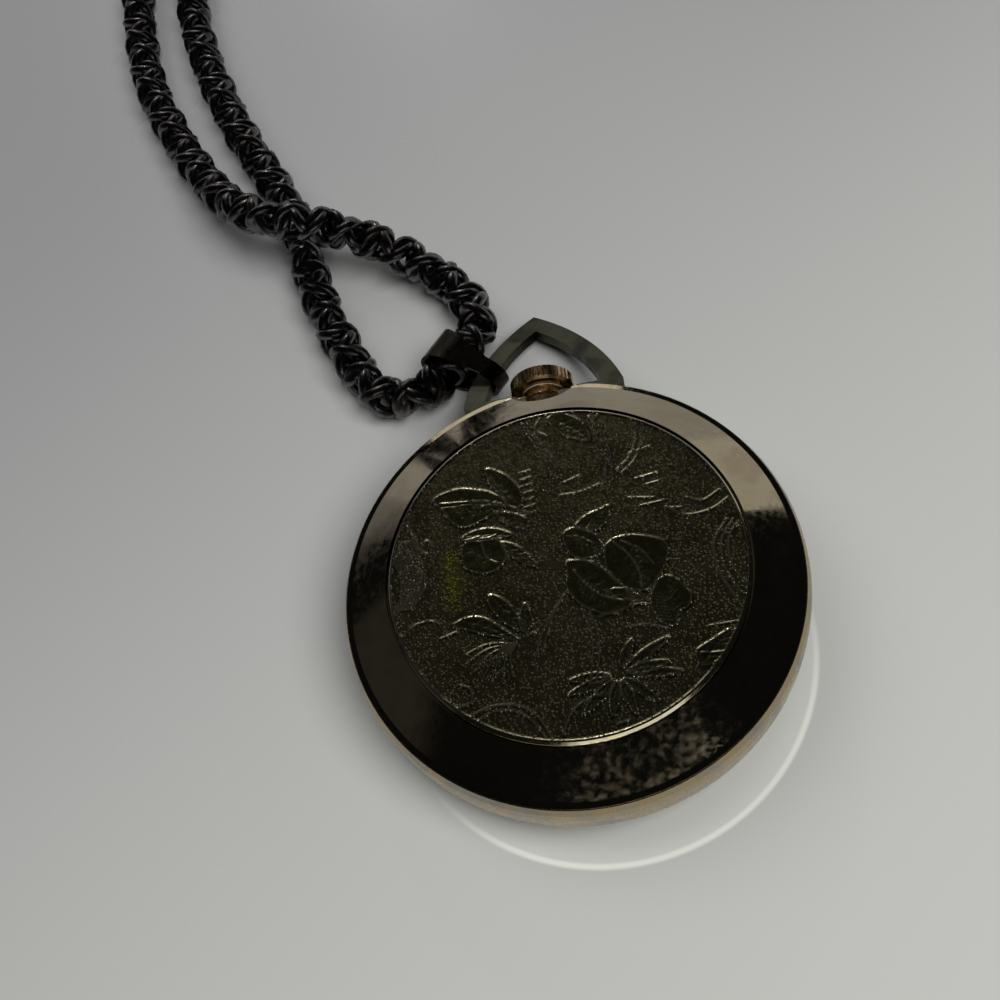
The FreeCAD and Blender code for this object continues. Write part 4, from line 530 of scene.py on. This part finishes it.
@dataclass(frozen=True)
class Studio:
    """Camera, pale glossy table, panels that mirrors see, and lamps."""

    eye: tuple = (5.58311, -40.23534, 94.99937)
    right: tuple = (0.97845, -0.10885, -0.17546)
    up: tuple = (0.17907, 0.87042, 0.45858)
    lens: float = 43.2
    sensor: float = 36.0
    table_half: float = 1600.0
    # Painted light on the table: a colour ramp from painted shade to painted light.
    table_painted_shade: tuple = (0.285, 0.283, 0.287)
    table_painted_light: tuple = (0.50, 0.505, 0.475)
    table_index: float = 1.4
    # A painted caustic: a thin arc of reflected light painted on the table beside the case.
    painted_caustic_centre: tuple = (1.00, -3.64)
    painted_caustic_radius: float = 17.79
    painted_caustic_colour: tuple = (0.80, 0.80, 0.74)
    painted_caustic_share: float = 0.8
    sky_colour: tuple = (0.9, 0.95, 1.0, 1.0)
    sky_strength: float = 0.006
    panels: tuple = (
        Panel("back_panel", 33.0, 128.0, -2.0, 17.5, 0.46),
        Panel("front_panel", -104.0, -48.0, 20.0, 33.0, 0.9),
        Panel("ceiling_panel", 40.0, 150.0, 54.0, 82.0, 0.03),
        Panel("bead_panel", 80.0, 113.0, 22.0, 46.0, 0.8),
        Panel("warm_panel", -112.0, -62.0, 42.0, 62.0, 0.035, (1.0, 0.42, 0.25, 1.0)),
        Panel("left_panel", 150.0, 205.0, 8.0, 24.0, 0.03),
    )
    lamps: tuple = (
        Lamp("soft_lamp", (300.0, -200.0, 600.0), 520.0, 5.2),
        Lamp("fill_lamp", (-420.0, 380.0, 700.0), 700.0, 2.6),
        Lamp("glint_lamp", (-60.0, 620.0, 330.0), 46.0, 0.14, True),
    )

    def build(self) -> None:
        """Make the camera, the table, the panels, the lamps and the dim surroundings."""
        self.camera()
        self.table()
        for light in self.panels + self.lamps:
            light.build()
        self.world()
        LOG.info("studio: %d panels, %d lamps", len(self.panels), len(self.lamps))

    def camera(self) -> None:
        """Place the camera as the photograph was taken."""
        data = bpy.data.cameras.new("camera")
        data.sensor_width = self.sensor
        data.lens = self.lens
        data.clip_start = 0.005
        camera = bpy.data.objects.new("camera", data)
        right, up = Vector(self.right), Vector(self.up)
        turn = Matrix((right, up, right.cross(up))).transposed().to_4x4()
        camera.matrix_world = Matrix.Translation(Vector(self.eye) * MM) @ turn
        bpy.context.scene.collection.objects.link(camera)
        bpy.context.scene.camera = camera

    def table(self) -> None:
        """A pale glossy table with painted light: its colour is brighter towards the front right, and a thin
        arc of reflected light beside the case is painted into it.
        """
        s = Shader("table")
        where = s.place()
        x, y, _ = s.node("SeparateXYZ", in0=where).outputs
        # Painted shade and light: darker towards the back left, lighter towards the front right.
        slope = s.calc("SUBTRACT", s.calc("MULTIPLY", x, 0.55), y)
        colour = s.mix(s.between(slope, -95.0, 55.0), self.table_painted_shade, self.table_painted_light)
        # Painted caustic: a bright arc of reflected light with a faint glow inside it, on the front right side
        # of the case only.
        radius = s.reach(s.calc("SUBTRACT", x, self.painted_caustic_centre[0]), s.calc("SUBTRACT", y, self.painted_caustic_centre[1]))
        middle = self.painted_caustic_radius
        arc = s.calc("MULTIPLY", s.between(radius, middle - 0.45, middle - 0.05),
                     s.between(radius, middle + 0.05, middle + 0.4, 1.0, 0.0))
        glow = s.calc("MULTIPLY", s.between(radius, 15.0, middle),
                      s.between(radius, middle, middle + 0.3, 0.35, 0.0))
        side = s.between(s.calc("SUBTRACT", s.calc("MULTIPLY", x, 0.35), y), 6.0, 20.0)
        painted_caustic_mask = s.calc("MULTIPLY", s.calc("MAXIMUM", arc, glow), side)
        colour = s.mix(s.calc("MULTIPLY", painted_caustic_mask, self.painted_caustic_share), colour, self.painted_caustic_colour)
        rough = s.between(s.noise(where, 0.02, 4.0), 0.3, 0.7, 0.26, 0.32)
        normal = s.bump(s.noise(where, 0.15, 3.0), 0.04, 0.05)
        paint = s.finish(Base_Color=colour, Roughness=rough, Normal=normal, IOR=self.table_index)
        corners = np.array([(-1, -1, 0), (1, -1, 0), (1, 1, 0), (-1, 1, 0)], float)
        table = mesh_object("table", self.table_half * corners, [(0, 1, 2, 3)])
        table.data.materials.append(paint)

    def world(self) -> None:
        """Dim even surroundings."""
        world = bpy.data.worlds.new("room")
        world.use_nodes = True
        sky = world.node_tree.nodes["Background"]
        sky.inputs["Color"].default_value = self.sky_colour
        sky.inputs["Strength"].default_value = self.sky_strength
        bpy.context.scene.world = world
        bpy.context.scene.view_settings.view_transform = "Standard"


# Chain

CHAIN_EXIT = (-7.85, 26.1, 2.63)
STRAND_OVER = (
    CHAIN_EXIT, (-5.55, 28.45, 2.63), (-5.2, 32.0, 2.3), (-8.2, 36.9, 2.14), (-12.0, 40.2, 3.1),
    (-16.0, 42.2, 4.9), (-20.2, 43.3, 6.6), (-25.2, 45.3, 6.6), (-29.2, 49.4, 5.1), (-33.0, 56.2, 2.9),
    (-36.6, 63.8, 2.12), (-40.2, 73.2, 2.12), (-41.9, 84.0, 2.12), (-42.6, 95.0, 2.12),
    (-42.3, 105.0, 2.12), (-40.0, 114.6, 2.12), (-40.0, 123.8, 2.12),
)
STRAND_UNDER = (
    CHAIN_EXIT, (-10.15, 23.75, 2.63), (-13.55, 23.3, 2.3), (-16.35, 24.95, 2.14), (-18.45, 29.9, 2.12),
    (-20.9, 36.6, 2.12), (-22.2, 42.8, 2.12), (-22.9, 48.2, 2.12), (-25.6, 54.6, 2.12),
    (-29.2, 62.6, 2.12), (-32.5, 72.4, 2.12), (-34.8, 82.2, 2.12), (-35.5, 90.4, 2.12),
    (-35.4, 97.0, 2.12),
)


@dataclass(frozen=True)
class Coil:
    """The put-away length of the chain, two layers of a flat spiral."""

    centre: tuple = (-13.6, 128.0)
    radius: float = 26.4
    step: float = 4.75
    layer: float = 4.75
    low: float = 2.12
    turns: float = 2.5
    climb: tuple = (1.0, 1.5)
    tail: float = 4.2
    count: int = 91

    def points(self) -> list[tuple]:
        """Places along the coil: a spiral winds in, climbs a layer and winds out to a straight end.

        Returns:
            The places, in millimetres.
        """
        turn = np.linspace(0.0, self.turns, self.count)
        radius = self.radius - self.step * np.minimum(turn, sum(self.climb) - turn)
        share = np.clip((turn - self.climb[0]) / (self.climb[1] - self.climb[0]), 0.0, 1.0)
        height = self.low + self.layer * (1 - np.cos(np.pi * share)) / 2
        angle = np.pi - TAU * turn
        places = np.stack([self.centre[0] + radius * np.cos(angle),
                           self.centre[1] + radius * np.sin(angle), height], axis=1)
        end = places[-1] + np.array([0.0, -self.tail, 0.0])
        return [tuple(place) for place in places] + [tuple(end)]


@dataclass(frozen=True)
class RopeChain:
    """Twisted rope chain: rings that lean and turn step by step along a line."""

    diameter: float = 4.2
    wire: float = 0.58
    pitch: float = 1.1
    twist: float = 9.0
    lean: float = 46.0
    slack: float = 0.03
    end_gap: float = 0.75
    around_ring: int = 18
    around_wire: int = 7

    def centreline(self, name: str, route: tuple) -> np.ndarray:
        """The spline through the route, as a fine line of places.

        Args:
            name: Name for the guide curve.
            route: Points of the spline, in millimetres.

        Returns:
            Places along the spline, in millimetres.
        """
        data = bpy.data.curves.new(name, "CURVE")
        data.dimensions = "3D"
        data.resolution_u = 12
        spline = data.splines.new("NURBS")
        spline.points.add(len(route) - 1)
        flat = np.concatenate([np.asarray(route, float) * MM, np.ones((len(route), 1))], axis=1)
        spline.points.foreach_set("co", flat.ravel())
        spline.order_u = 3
        spline.use_endpoint_u = True
        guide = bpy.data.objects.new(name, data)
        bpy.context.scene.collection.objects.link(guide)
        bpy.context.view_layer.update()
        mesh = bpy.data.meshes.new_from_object(guide)
        places = np.empty(len(mesh.vertices) * 3)
        mesh.vertices.foreach_get("co", places)
        bpy.data.meshes.remove(mesh)
        bpy.data.objects.remove(guide)
        bpy.data.curves.remove(data)
        return places.reshape(-1, 3) / MM

    def frames(self, line: np.ndarray) -> tuple[np.ndarray, np.ndarray, np.ndarray, np.ndarray]:
        """Even places along a line with a frame that doesn't spin.

        Args:
            line: Places along the line.

        Returns:
            Places, headings, and two sideways directions.
        """
        steps = np.linalg.norm(np.diff(line, axis=0), axis=1)
        way = np.concatenate([[0.0], np.cumsum(steps)])
        inset = self.wire + self.end_gap
        count = int((way[-1] - 2 * inset) / self.pitch) + 1
        at = np.linspace(inset, way[-1] - inset, count)
        places = np.stack([np.interp(at, way, line[:, k]) for k in range(3)], axis=1)
        heading = np.gradient(places, axis=0)
        heading /= np.linalg.norm(heading, axis=1, keepdims=True)
        flat = np.stack([-heading[:, 1], heading[:, 0], np.zeros(count)], axis=1)
        flat /= np.linalg.norm(flat, axis=1, keepdims=True)
        return places, heading, flat, np.cross(heading, flat)

    def build(self, name: str, line: np.ndarray) -> bpy.types.Object:
        """Make the links: at each place a torus whose plane leans from the line and turns about it.

        Args:
            name: Name of the piece.
            line: Places along the centreline, in millimetres.

        Returns:
            One mesh with every link.
        """
        places, heading, flat, rise = self.frames(line)
        count = len(places)
        number = np.arange(count)
        phase = TAU * number * self.pitch / self.twist + np.pi * (number % 2)
        side = np.cos(phase)[:, None] * flat + np.sin(phase)[:, None] * rise
        lean = math.radians(self.lean)
        normal = math.cos(lean) * heading + math.sin(lean) * side
        across = np.cross(normal, heading)
        across /= np.linalg.norm(across, axis=1, keepdims=True)
        along = np.cross(across, normal)
        ring_radius = self.diameter / 2 - self.wire - self.slack
        ring = np.linspace(0, TAU, self.around_ring, endpoint=False)
        wire = np.linspace(0, TAU, self.around_wire, endpoint=False)
        spoke = (np.cos(ring)[None, :, None] * across[:, None, :]
                 + np.sin(ring)[None, :, None] * along[:, None, :])
        tube = (spoke[:, :, None, :] * (ring_radius + self.wire * np.cos(wire))[None, None, :, None]
                + normal[:, None, None, :] * (self.wire * np.sin(wire))[None, None, :, None])
        points = (places[:, None, None, :] + tube).reshape(-1, 3)
        quads = grid_quads(self.around_ring, self.around_wire, True, True)
        per_link = self.around_ring * self.around_wire
        faces = (quads[None] + (number * per_link)[:, None, None]).reshape(-1, 4)
        return mesh_object(name, points, faces.tolist())


@dataclass(frozen=True)
class Stretch:
    """One stretch of the chain from the bail to a fitting; the length is in millimetres."""

    name: str
    route: tuple
    nodes: tuple
    fitting: str
    length: float
    lay: str


@dataclass(frozen=True)
class NeckChain:
    """Both stretches of the neck chain."""

    rope: RopeChain = RopeChain()
    stretches: tuple = (
        Stretch("chain_over", STRAND_OVER + tuple(Coil().points()), ("chain_strand_over", "chain_coil"),
                "end_ring", 492.4, "coiled"),
        Stretch("chain_under", STRAND_UNDER, ("chain_strand_under",), "clasp_hook", 84.8, "loose"),
    )

    def build(self, paint: Paint) -> None:
        """Args:
            paint: The material slots.
        """
        for part in self.stretches:
            line = self.rope.centreline(part.name, part.route)
            chain = self.rope.build(part.name, line)
            paint.put(chain, "chain_gunmetal")
            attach(chain, "bow_and_chain")
            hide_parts(*part.nodes)
            run = np.linalg.norm(np.diff(line, axis=0), axis=1).sum()
            LOG.info("%s: %.1f mm, %d faces", part.name, run, len(chain.data.polygons))


# Engraved disc


class Cut(Enum):
    """What a stroke does to the surface."""

    RIDGE = "raised line"
    GROOVE = "cut line"


@dataclass(frozen=True)
class Stroke:
    """A line of the ornament."""

    points: tuple
    width: float = 0.22
    kind: Cut = Cut.RIDGE


@dataclass(frozen=True)
class Petal:
    """A smooth leaf or petal with a raised edge."""

    outline: tuple
    lift: float = 0.05
    edge: float = 0.2


PETALS = (
    Petal(((-10, 7.9), (-8.2, 8.5), (-6.5, 8.2), (-5, 7.5), (-4, 6.3), (-5.6, 5.4), (-7.5, 4.8), (-8.6, 5.4),
           (-9.3, 6.7))),
    Petal(((-5.4, 9.9), (-4.0, 9.2), (-2.9, 7.8), (-2.6, 6.2), (-3.6, 5.6), (-4.4, 7.2), (-5.2, 8.4))),
    Petal(((-5.0, 5.6), (-3.6, 5.4), (-2.5, 4.6), (-2.6, 3.8), (-3.9, 4.2))),
    Petal(((-8.0, 3.2), (-7.9, 1.2), (-6.2, 0.4), (-4.7, 1.2), (-4.8, 3.0), (-6.4, 3.6))),
    Petal(((-8.1, 3.8), (-6.9, 4.4), (-5.2, 4.3), (-3.8, 3.4), (-5.4, 3.3), (-6.9, 3.4))),
    Petal(((-4.8, 3.0), (-3.6, 2.4), (-2.6, 1.2), (-2.2, 0.2), (-3.5, 0.9), (-4.5, 2.0))),
    Petal(((0.1, 2.5), (0.9, 3.1), (2.0, 2.7), (2.9, 1.9), (3.0, 0.6), (1.8, 0.2), (0.5, 0.8))),
    Petal(((1.2, 3.2), (2.2, 4.0), (3.3, 4.3), (4.2, 4.5), (3.9, 3.4), (3.0, 2.5), (2.0, 2.9))),
    Petal(((3.2, 0.7), (4.0, 1.5), (5.5, 1.6), (7.0, 1.1), (8.1, 0.4), (7.9, -1.0), (7.0, -2.4), (5.8, -3.3),
           (4.3, -2.7), (3.2, -1.2))),
    Petal(((0.2, 0.3), (0.0, -1.0), (-0.2, -2.0), (0.5, -3.3), (1.5, -4.2), (3.0, -4.8), (4.6, -4.2),
           (4.2, -2.6), (3.0, -1.0), (1.8, 0.0))),
    Petal(((6.8, -2.7), (7.8, -2.4), (8.6, -3.1), (9.2, -4.3), (8.8, -5.2), (8.0, -5.5), (7.6, -6.5),
           (6.6, -6.1), (6.0, -4.4))),
    Petal(((-6.2, -1.4), (-5.0, -2.2), (-4.0, -4.0), (-4.0, -5.0), (-5.6, -3.7), (-6.4, -2.2))),
    Petal(((-3.6, -2.6), (-3.1, -4.0), (-3.8, -5.2), (-4.2, -4.0))),
    Petal(((-9.4, -3.5), (-8.2, -3.0), (-6.8, -3.3), (-5.2, -4.7), (-4.4, -5.6), (-6.2, -5.0), (-8.0, -4.2))),
    Petal(((0.3, 13.6), (1.6, 13.9), (3.2, 12.6), (3.6, 10.8), (2.2, 11.2), (1.0, 12.2))),
    Petal(((8.8, -10.0), (8.7, -8.8), (10.0, -8.1), (11.6, -7.5), (11.2, -8.9), (10.2, -9.8))),
)

STROKES = (
    Stroke(((-6.2, 6.4), (-5.3, 6.5), (-3.8, 6.0), (-2.5, 5.2))),
    Stroke(((-9.4, 7.4), (-7.6, 7.2), (-5.8, 6.9), (-4.4, 6.4)), 0.18),
    Stroke(((-8.0, 3.6), (-6.5, 3.8))), Stroke(((-6.3, 3.4), (-5.2, 3.7))),
    Stroke(((-6.4, 3.2), (-6.2, 2.0), (-5.4, 1.2)), 0.18),
    Stroke(((4.0, 1.2), (5.0, 0.0), (5.6, -1.6), (5.6, -3.0)), 0.18),
    Stroke(((4.6, 1.2), (6.0, 0.2), (6.8, -1.2)), 0.16),
    Stroke(((0.3, 0.3), (2.0, 0.0), (3.0, -1.0), (4.0, -2.2))),
    Stroke(((0.6, -0.6), (1.4, -2.0), (2.6, -3.2), (4.0, -3.8)), 0.18),
    Stroke(((3.3, -2.7), (4.3, -2.9), (5.1, -3.4), (6.0, -4.3))),
    Stroke(((2.0, -4.8), (3.5, -4.7), (5.0, -4.3), (6.0, -4.5))),
    Stroke(((4.0, -6.0), (5.5, -6.1), (7.0, -6.7))),
    Stroke(((0.5, 2.4), (1.4, 2.2), (2.4, 1.4)), 0.16),
    Stroke(((0.75, -4.0), (1.2, -6.0), (1.0, -8.0), (0.6, -9.5))),
    Stroke(((1.25, -4.0), (1.7, -6.0), (1.5, -8.0), (1.1, -9.4))),
    Stroke(((-0.4, -2.5), (-1.6, -4.2), (-2.4, -6.0), (-2.8, -7.2))),
    Stroke(((-0.7, -2.9), (-2.1, -4.6), (-2.9, -6.1), (-3.3, -7.2))),
    Stroke(((3.8, 13.1), (4.2, 11.0), (4.5, 9.0), (4.3, 7.2), (3.8, 6.1)), 0.26),
    Stroke(((4.4, 13.0), (4.8, 11.0), (5.0, 9.0), (4.8, 7.0), (4.3, 5.9)), 0.2),
    Stroke(((7.6, 12.0), (7.2, 10.0), (6.5, 8.6), (5.3, 7.6)), 0.26),
    Stroke(((8.1, 11.7), (7.7, 9.9), (6.9, 8.3), (5.6, 7.2)), 0.2),
    Stroke(((-1.4, 13.8), (-0.9, 12.0), (-0.2, 10.5), (0.3, 9.0), (0.3, 7.5)), 0.26),
    Stroke(((-1.9, 13.7), (-1.4, 12.0), (-0.7, 10.4), (-0.2, 9.0), (-0.2, 7.6)), 0.2),
    Stroke(((-0.3, 13.8), (-0.8, 12.8), (0.0, 12.0)), 0.22),
    Stroke(((14.0, 1.2), (12.9, 0.0), (12.6, -2.0), (13.3, -4.0)), 0.28),
    Stroke(((13.0, 1.5), (11.6, -0.5), (11.7, -3.0), (12.6, -5.5)), 0.28),
    Stroke(((13.5, 1.4), (12.3, -0.2), (12.1, -2.6), (12.9, -4.8)), 0.2),
    Stroke(((8.6, 3.5), (10.0, 2.5), (12.0, 2.6), (13.6, 3.4)), 0.26),
    Stroke(((10.3, 4.0), (11.5, 3.5), (13.0, 4.2)), 0.22),
    Stroke(((5.8, 4.9), (7.8, 4.5))), Stroke(((6.6, 4.0), (8.6, 4.1))), Stroke(((8.6, 3.4), (9.8, 3.2))),
    Stroke(((6.5, 8.9), (8.2, 9.2))), Stroke(((6.6, 6.5), (8.4, 6.7))), Stroke(((7.4, 5.8), (8.4, 5.9))),
    Stroke(((0.5, 6.2), (2.2, 6.2), (3.7, 6.6))), Stroke(((0.9, 7.3), (2.2, 7.7))),
    Stroke(((10.0, -7.0), (12.0, -7.0))), Stroke(((9.0, -9.0), (10.5, -9.2))),
    Stroke(((-13.0, 7.3), (-12.0, 5.0), (-11.5, 3.6), (-10.9, 3.0)), 0.26),
    Stroke(((-10.9, 3.0), (-10.5, 3.6), (-10.8, 4.3), (-11.2, 4.1)), 0.2),
    Stroke(((-12.0, 2.2), (-11.3, 1.2), (-11.4, 0.0))),
    Stroke(((-13.8, -1.8), (-12.5, -0.2), (-11.9, 0.1))),
    Stroke(((-13.6, -3.8), (-12.4, -2.9), (-11.0, -2.8), (-10.4, -3.2))),
    Stroke(((-10.5, -4.4), (-9.0, -4.0))), Stroke(((-4.0, -5.4), (-2.8, -5.1))),
    Stroke(((-8.8, -11.0), (-7.0, -10.5), (-5.0, -10.8), (-3.6, -12.0), (-2.9, -13.6)), 0.26),
    Stroke(((-8.4, -11.5), (-6.8, -10.9), (-5.2, -11.2), (-4.0, -12.3), (-3.4, -13.4)), 0.2),
    Stroke(((-2.0, -13.5), (-1.2, -12.0), (0.0, -11.2), (1.2, -10.9)), 0.26),
    Stroke(((2.0, -13.4), (3.0, -13.2))),
    Stroke(((-9.3, -8.4), (-8.5, -8.9), (-8.6, -9.9), (-9.6, -10.1), (-10.2, -9.4), (-9.9, -8.8)), 0.24),
)

RADIATING = ((28, 4.9), (5, 4.0), (-7, 4.8), (-44, 3.8), (-75, 3.4), (-107, 3.3), (-139, 4.0), (-166, 4.1),
             (178, 3.7), (60, 3.0))


@dataclass(frozen=True)
class EngravedDisc:
    """The disc with its flowers, leaves, stems and stippled ground."""

    radius: float = 14.43
    level: float = 9.66
    rim_level: float = 9.75
    edge_level: float = 9.51
    border_start: float = 13.98
    border_end: float = 14.1
    chamfer_start: float = 14.14
    line_height: float = 0.045
    groove_depth: float = 0.03
    rows: int = 300
    flower: tuple = (2.7, -9.6)
    patch_at: tuple = (-9.0, 0.2)
    patch_size: tuple = (1.6, 4.6)

    def plan(self) -> np.ndarray:
        """A square grid of places bent into a disc.

        Returns:
            The places across and along.
        """
        side = np.linspace(-1, 1, self.rows)
        u, v = np.meshgrid(side, side)
        reach = np.maximum(np.abs(u), np.abs(v))
        wide = np.abs(u) >= np.abs(v)
        small = np.where(reach < 1e-9, 1.0, reach)
        turn = np.where(wide, v / small, u / small) * math.pi / 4
        x = np.where(wide, np.sign(u) * np.cos(turn), np.sin(turn)) * reach
        y = np.where(wide, np.sin(turn), np.sign(v) * np.cos(turn)) * reach
        return np.stack([x.ravel(), y.ravel()], axis=1) * self.radius

    def petals(self) -> list[Petal]:
        """All petals, with the radiating flower's."""
        made = list(PETALS)
        for degrees, length in RADIATING:
            angle = math.radians(degrees)
            ahead = np.array([math.cos(angle), math.sin(angle)])
            aside = np.array([-ahead[1], ahead[0]])
            shape = ((0.5, 0.0), (length * 0.45, 0.42), (length * 0.8, 0.3), (length, 0.0),
                     (length * 0.75, -0.3), (length * 0.45, -0.38))
            made.append(Petal(tuple(tuple(np.array(self.flower) + ahead * a + aside * b)
                                    for a, b in shape), 0.05, 0.2))
        return made

    def strokes(self) -> list[Stroke]:
        """All lines, with the hatches, the rim's scrolls and the leaf's veins."""
        made = list(STROKES)
        for number in range(8):
            shift = 0.32 * number
            made.append(Stroke(((-14.3 + shift, 4.5), (-13.4 + shift * 0.9, 2.0),
                                (-13.3 + shift * 0.8, 0.0), (-14.1 + shift * 0.7, -1.5)), 0.17))
        for number in range(7):
            y = 8.9 - number * 0.65
            made.append(Stroke(((-2.7, y), (-1.7, y + 0.15)), 0.16))
        for number in range(9):
            share = number / 8
            made.append(Stroke(((4.0 + share * 1.3, -3.3 - share * 0.9),
                                (4.7 + share * 1.4, -4.2 - share * 0.5)), 0.13, Cut.GROOVE))
            made.append(Stroke(((6.2 + share * 0.3, -3.5 - share * 2.2),
                                (7.2 + share * 0.2, -3.8 - share * 2.2)), 0.13, Cut.GROOVE))
        for number in range(7):
            share = number / 6
            made.append(Stroke(((0.7 + share * 1.8, -2.4 - share * 1.4),
                                (1.3 + share * 1.5, -1.4 - share * 1.2)), 0.12, Cut.GROOVE))
            made.append(Stroke(((-8.6 + share * 3.2, 7.5 - share * 0.4),
                                (-8.1 + share * 3.0, 6.4 - share * 0.5)), 0.12, Cut.GROOVE))
        for petal in self.petals():
            made += self.veins(petal)
        for x, y in ((-8.5, -6.0), (-8.6, -6.8), (-8.1, -7.6), (-7.6, -8.3), (-7.0, -8.8), (-6.0, -8.7),
                     (-5.2, -8.4)):
            made.append(Stroke(((-4.5, -5.8), ((x - 4.5) / 2 - 0.3, (y - 5.8) / 2 + 0.4), (x, y)), 0.2))
        return made

    @staticmethod
    def veins(petal: Petal) -> list[Stroke]:
        """A midrib and side veins for a petal.

        Args:
            petal: The petal.

        Returns:
            Cut lines inside its outline.
        """
        outline = np.array(petal.outline, float)
        middle = outline.mean(axis=0)
        reach = outline - middle
        tip = outline[np.argmax((reach ** 2).sum(axis=1))]
        base = middle - 0.75 * (tip - middle)
        ahead = tip - base
        aside = np.array([-ahead[1], ahead[0]]) * 0.2
        bend = base + 0.5 * ahead + 0.2 * aside
        made = [Stroke((tuple(base), tuple(bend), tuple(tip - 0.12 * ahead)), 0.12, Cut.GROOVE)]
        for share in (0.2, 0.36, 0.52, 0.68):
            root = base + share * ahead
            for side in (-1, 1):
                end = root + 0.16 * ahead + side * aside * (1.15 - share)
                made.append(Stroke((tuple(root), tuple((root + end) / 2 + 0.03 * ahead), tuple(end)), 0.1,
                                   Cut.GROOVE))
        return made

    @staticmethod
    def distance(plan: np.ndarray, line: np.ndarray, reach: float) -> tuple[np.ndarray, np.ndarray]:
        """Distance of places from a line, for those near it.

        Args:
            plan: The places.
            line: Points of the line.
            reach: How far from the line matters.

        Returns:
            The numbers of the near places and their distances.
        """
        low, high = line.min(axis=0) - reach, line.max(axis=0) + reach
        near = np.flatnonzero(((plan > low) & (plan < high)).all(axis=1))
        start, along = line[:-1][None], (line[1:] - line[:-1])[None]
        offset = plan[near][:, None] - start
        share = np.clip((offset * along).sum(-1) / np.maximum((along ** 2).sum(-1), 1e-12), 0, 1)
        return near, np.linalg.norm(offset - share[..., None] * along, axis=-1).min(axis=1)

    def build(self, paint: Paint) -> None:
        """Make the disc: a height over each place, from its distance to the ornament's lines and to the rim.

        Args:
            paint: The material slots.
        """
        plan = self.plan()
        lift = np.zeros(len(plan))
        smooth = np.zeros(len(plan))
        line_mask = np.zeros(len(plan))
        for petal in self.petals():
            outline = through(petal.outline, True)
            closed = np.concatenate([outline, outline[:1]])
            near, away = self.distance(plan, closed, 3.0)
            x, y = plan[near, 0][:, None], plan[near, 1][:, None]
            x0, y0, x1, y1 = closed[:-1, 0], closed[:-1, 1], closed[1:, 0], closed[1:, 1]
            crosses = (y0 > y) != (y1 > y)
            rise = np.where(np.abs(y1 - y0) < 1e-9, 1e-9, y1 - y0)
            inside = (crosses & (x < (x1 - x0) * (y - y0) / rise + x0)).sum(axis=1) % 2 == 1
            signed = np.where(inside, away, -away)
            body = soft_step(signed, -0.08, 0.12)
            lift[near] = np.maximum(lift[near], petal.lift * body * (1 - 0.35 * soft_step(signed, 0.2, 1.0)))
            smooth[near] = np.maximum(smooth[near], body)
            ridge = np.exp(-(signed / (petal.edge * 0.42)) ** 2)
            line_mask[near] = np.maximum(line_mask[near], ridge)
        for stroke in self.strokes():
            near, away = self.distance(plan, through(stroke.points), stroke.width * 2.5)
            ridge = np.exp(-(away / (stroke.width * 0.45)) ** 2)
            if stroke.kind is Cut.GROOVE:
                lift[near] -= self.groove_depth * ridge
                line_mask[near] = np.maximum(line_mask[near], 0.55 * soft_step(ridge, 0.1, 0.5)
                                             * (1 - soft_step(ridge, 0.5, 0.9)))
                continue
            line_mask[near] = np.maximum(line_mask[near], ridge)
            smooth[near] = np.maximum(smooth[near], soft_step(ridge, 0.2, 0.7))
        lift = np.maximum(lift, 0.0) + self.line_height * line_mask
        far = np.hypot(plan[:, 0], plan[:, 1])
        border = soft_step(far, self.border_start, self.border_end)
        height = (self.level + lift) * (1 - border) + border * self.rim_level
        chamfer = np.clip((far - self.chamfer_start) / (self.radius - self.chamfer_start), 0.0, 1.0)
        height = height * (1 - chamfer) + self.edge_level * chamfer
        points = np.concatenate([plan, height[:, None]], axis=1)
        disc = mesh_object("engraved_ornament", points, grid_quads(self.rows, self.rows).tolist())
        store(disc, "ground", 1 - np.maximum(smooth, border))
        # The border also takes the bright line colour: a painted highlight standing in for the rim's crescent
        # glint.
        store(disc, "line", np.maximum(line_mask * (1 - border), border))
        spot = np.exp(-((plan - self.patch_at) / self.patch_size) ** 2 @ np.ones(2))
        store(disc, "patch", spot)
        paint.put(disc, "disc_brass")
        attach(disc, "back")
        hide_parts("engraved_disc")
        LOG.info("disc: %d faces", len(disc.data.polygons))


@dataclass(frozen=True)
class Dressing:
    """Finishes for the nodes of the CAD model; the rounding of their edges is in millimetres."""

    rounded: tuple = (("bow", 0.28), ("bail", 0.1), ("crown", 0.04), ("case_band", 0.2), ("back_cover", 0.06),
                      ("front_bezel", 0.1), ("clasp_hook", 0.05), ("pendant_neck", 0.08))
    segments: int = 3
    sharp_from: float = 35.0

    def build(self, paint: Paint) -> None:
        """Finish every node and round the edges of the outer ones.

        Args:
            paint: The material slots.
        """
        slots = {row["node"]: row["material_slot"] for row in frame["record"]["subparts"]}
        for name, node in frame["nodes"].items():
            paint.put(node, slots[name])
        for name, width in self.rounded:
            bevel = frame["nodes"][name].modifiers.new("rounded edges", "BEVEL")
            bevel.width = width * MM
            bevel.segments = self.segments
            bevel.limit_method = "ANGLE"
            bevel.angle_limit = math.radians(self.sharp_from)
        LOG.info("dressed %d nodes, rounded %d", len(frame["nodes"]), len(self.rounded))


def main() -> None:
    """Build the scene piece by piece."""
    logging.basicConfig(level=logging.INFO, format="%(name)s: %(message)s")
    Studio().build()
    paint = Paint()
    LOG.info("%d finishes", len(paint.made))
    NeckChain().build(paint)
    Dressing().build(paint)
    EngravedDisc().build(paint)


if __name__ == "__main__":
    main()
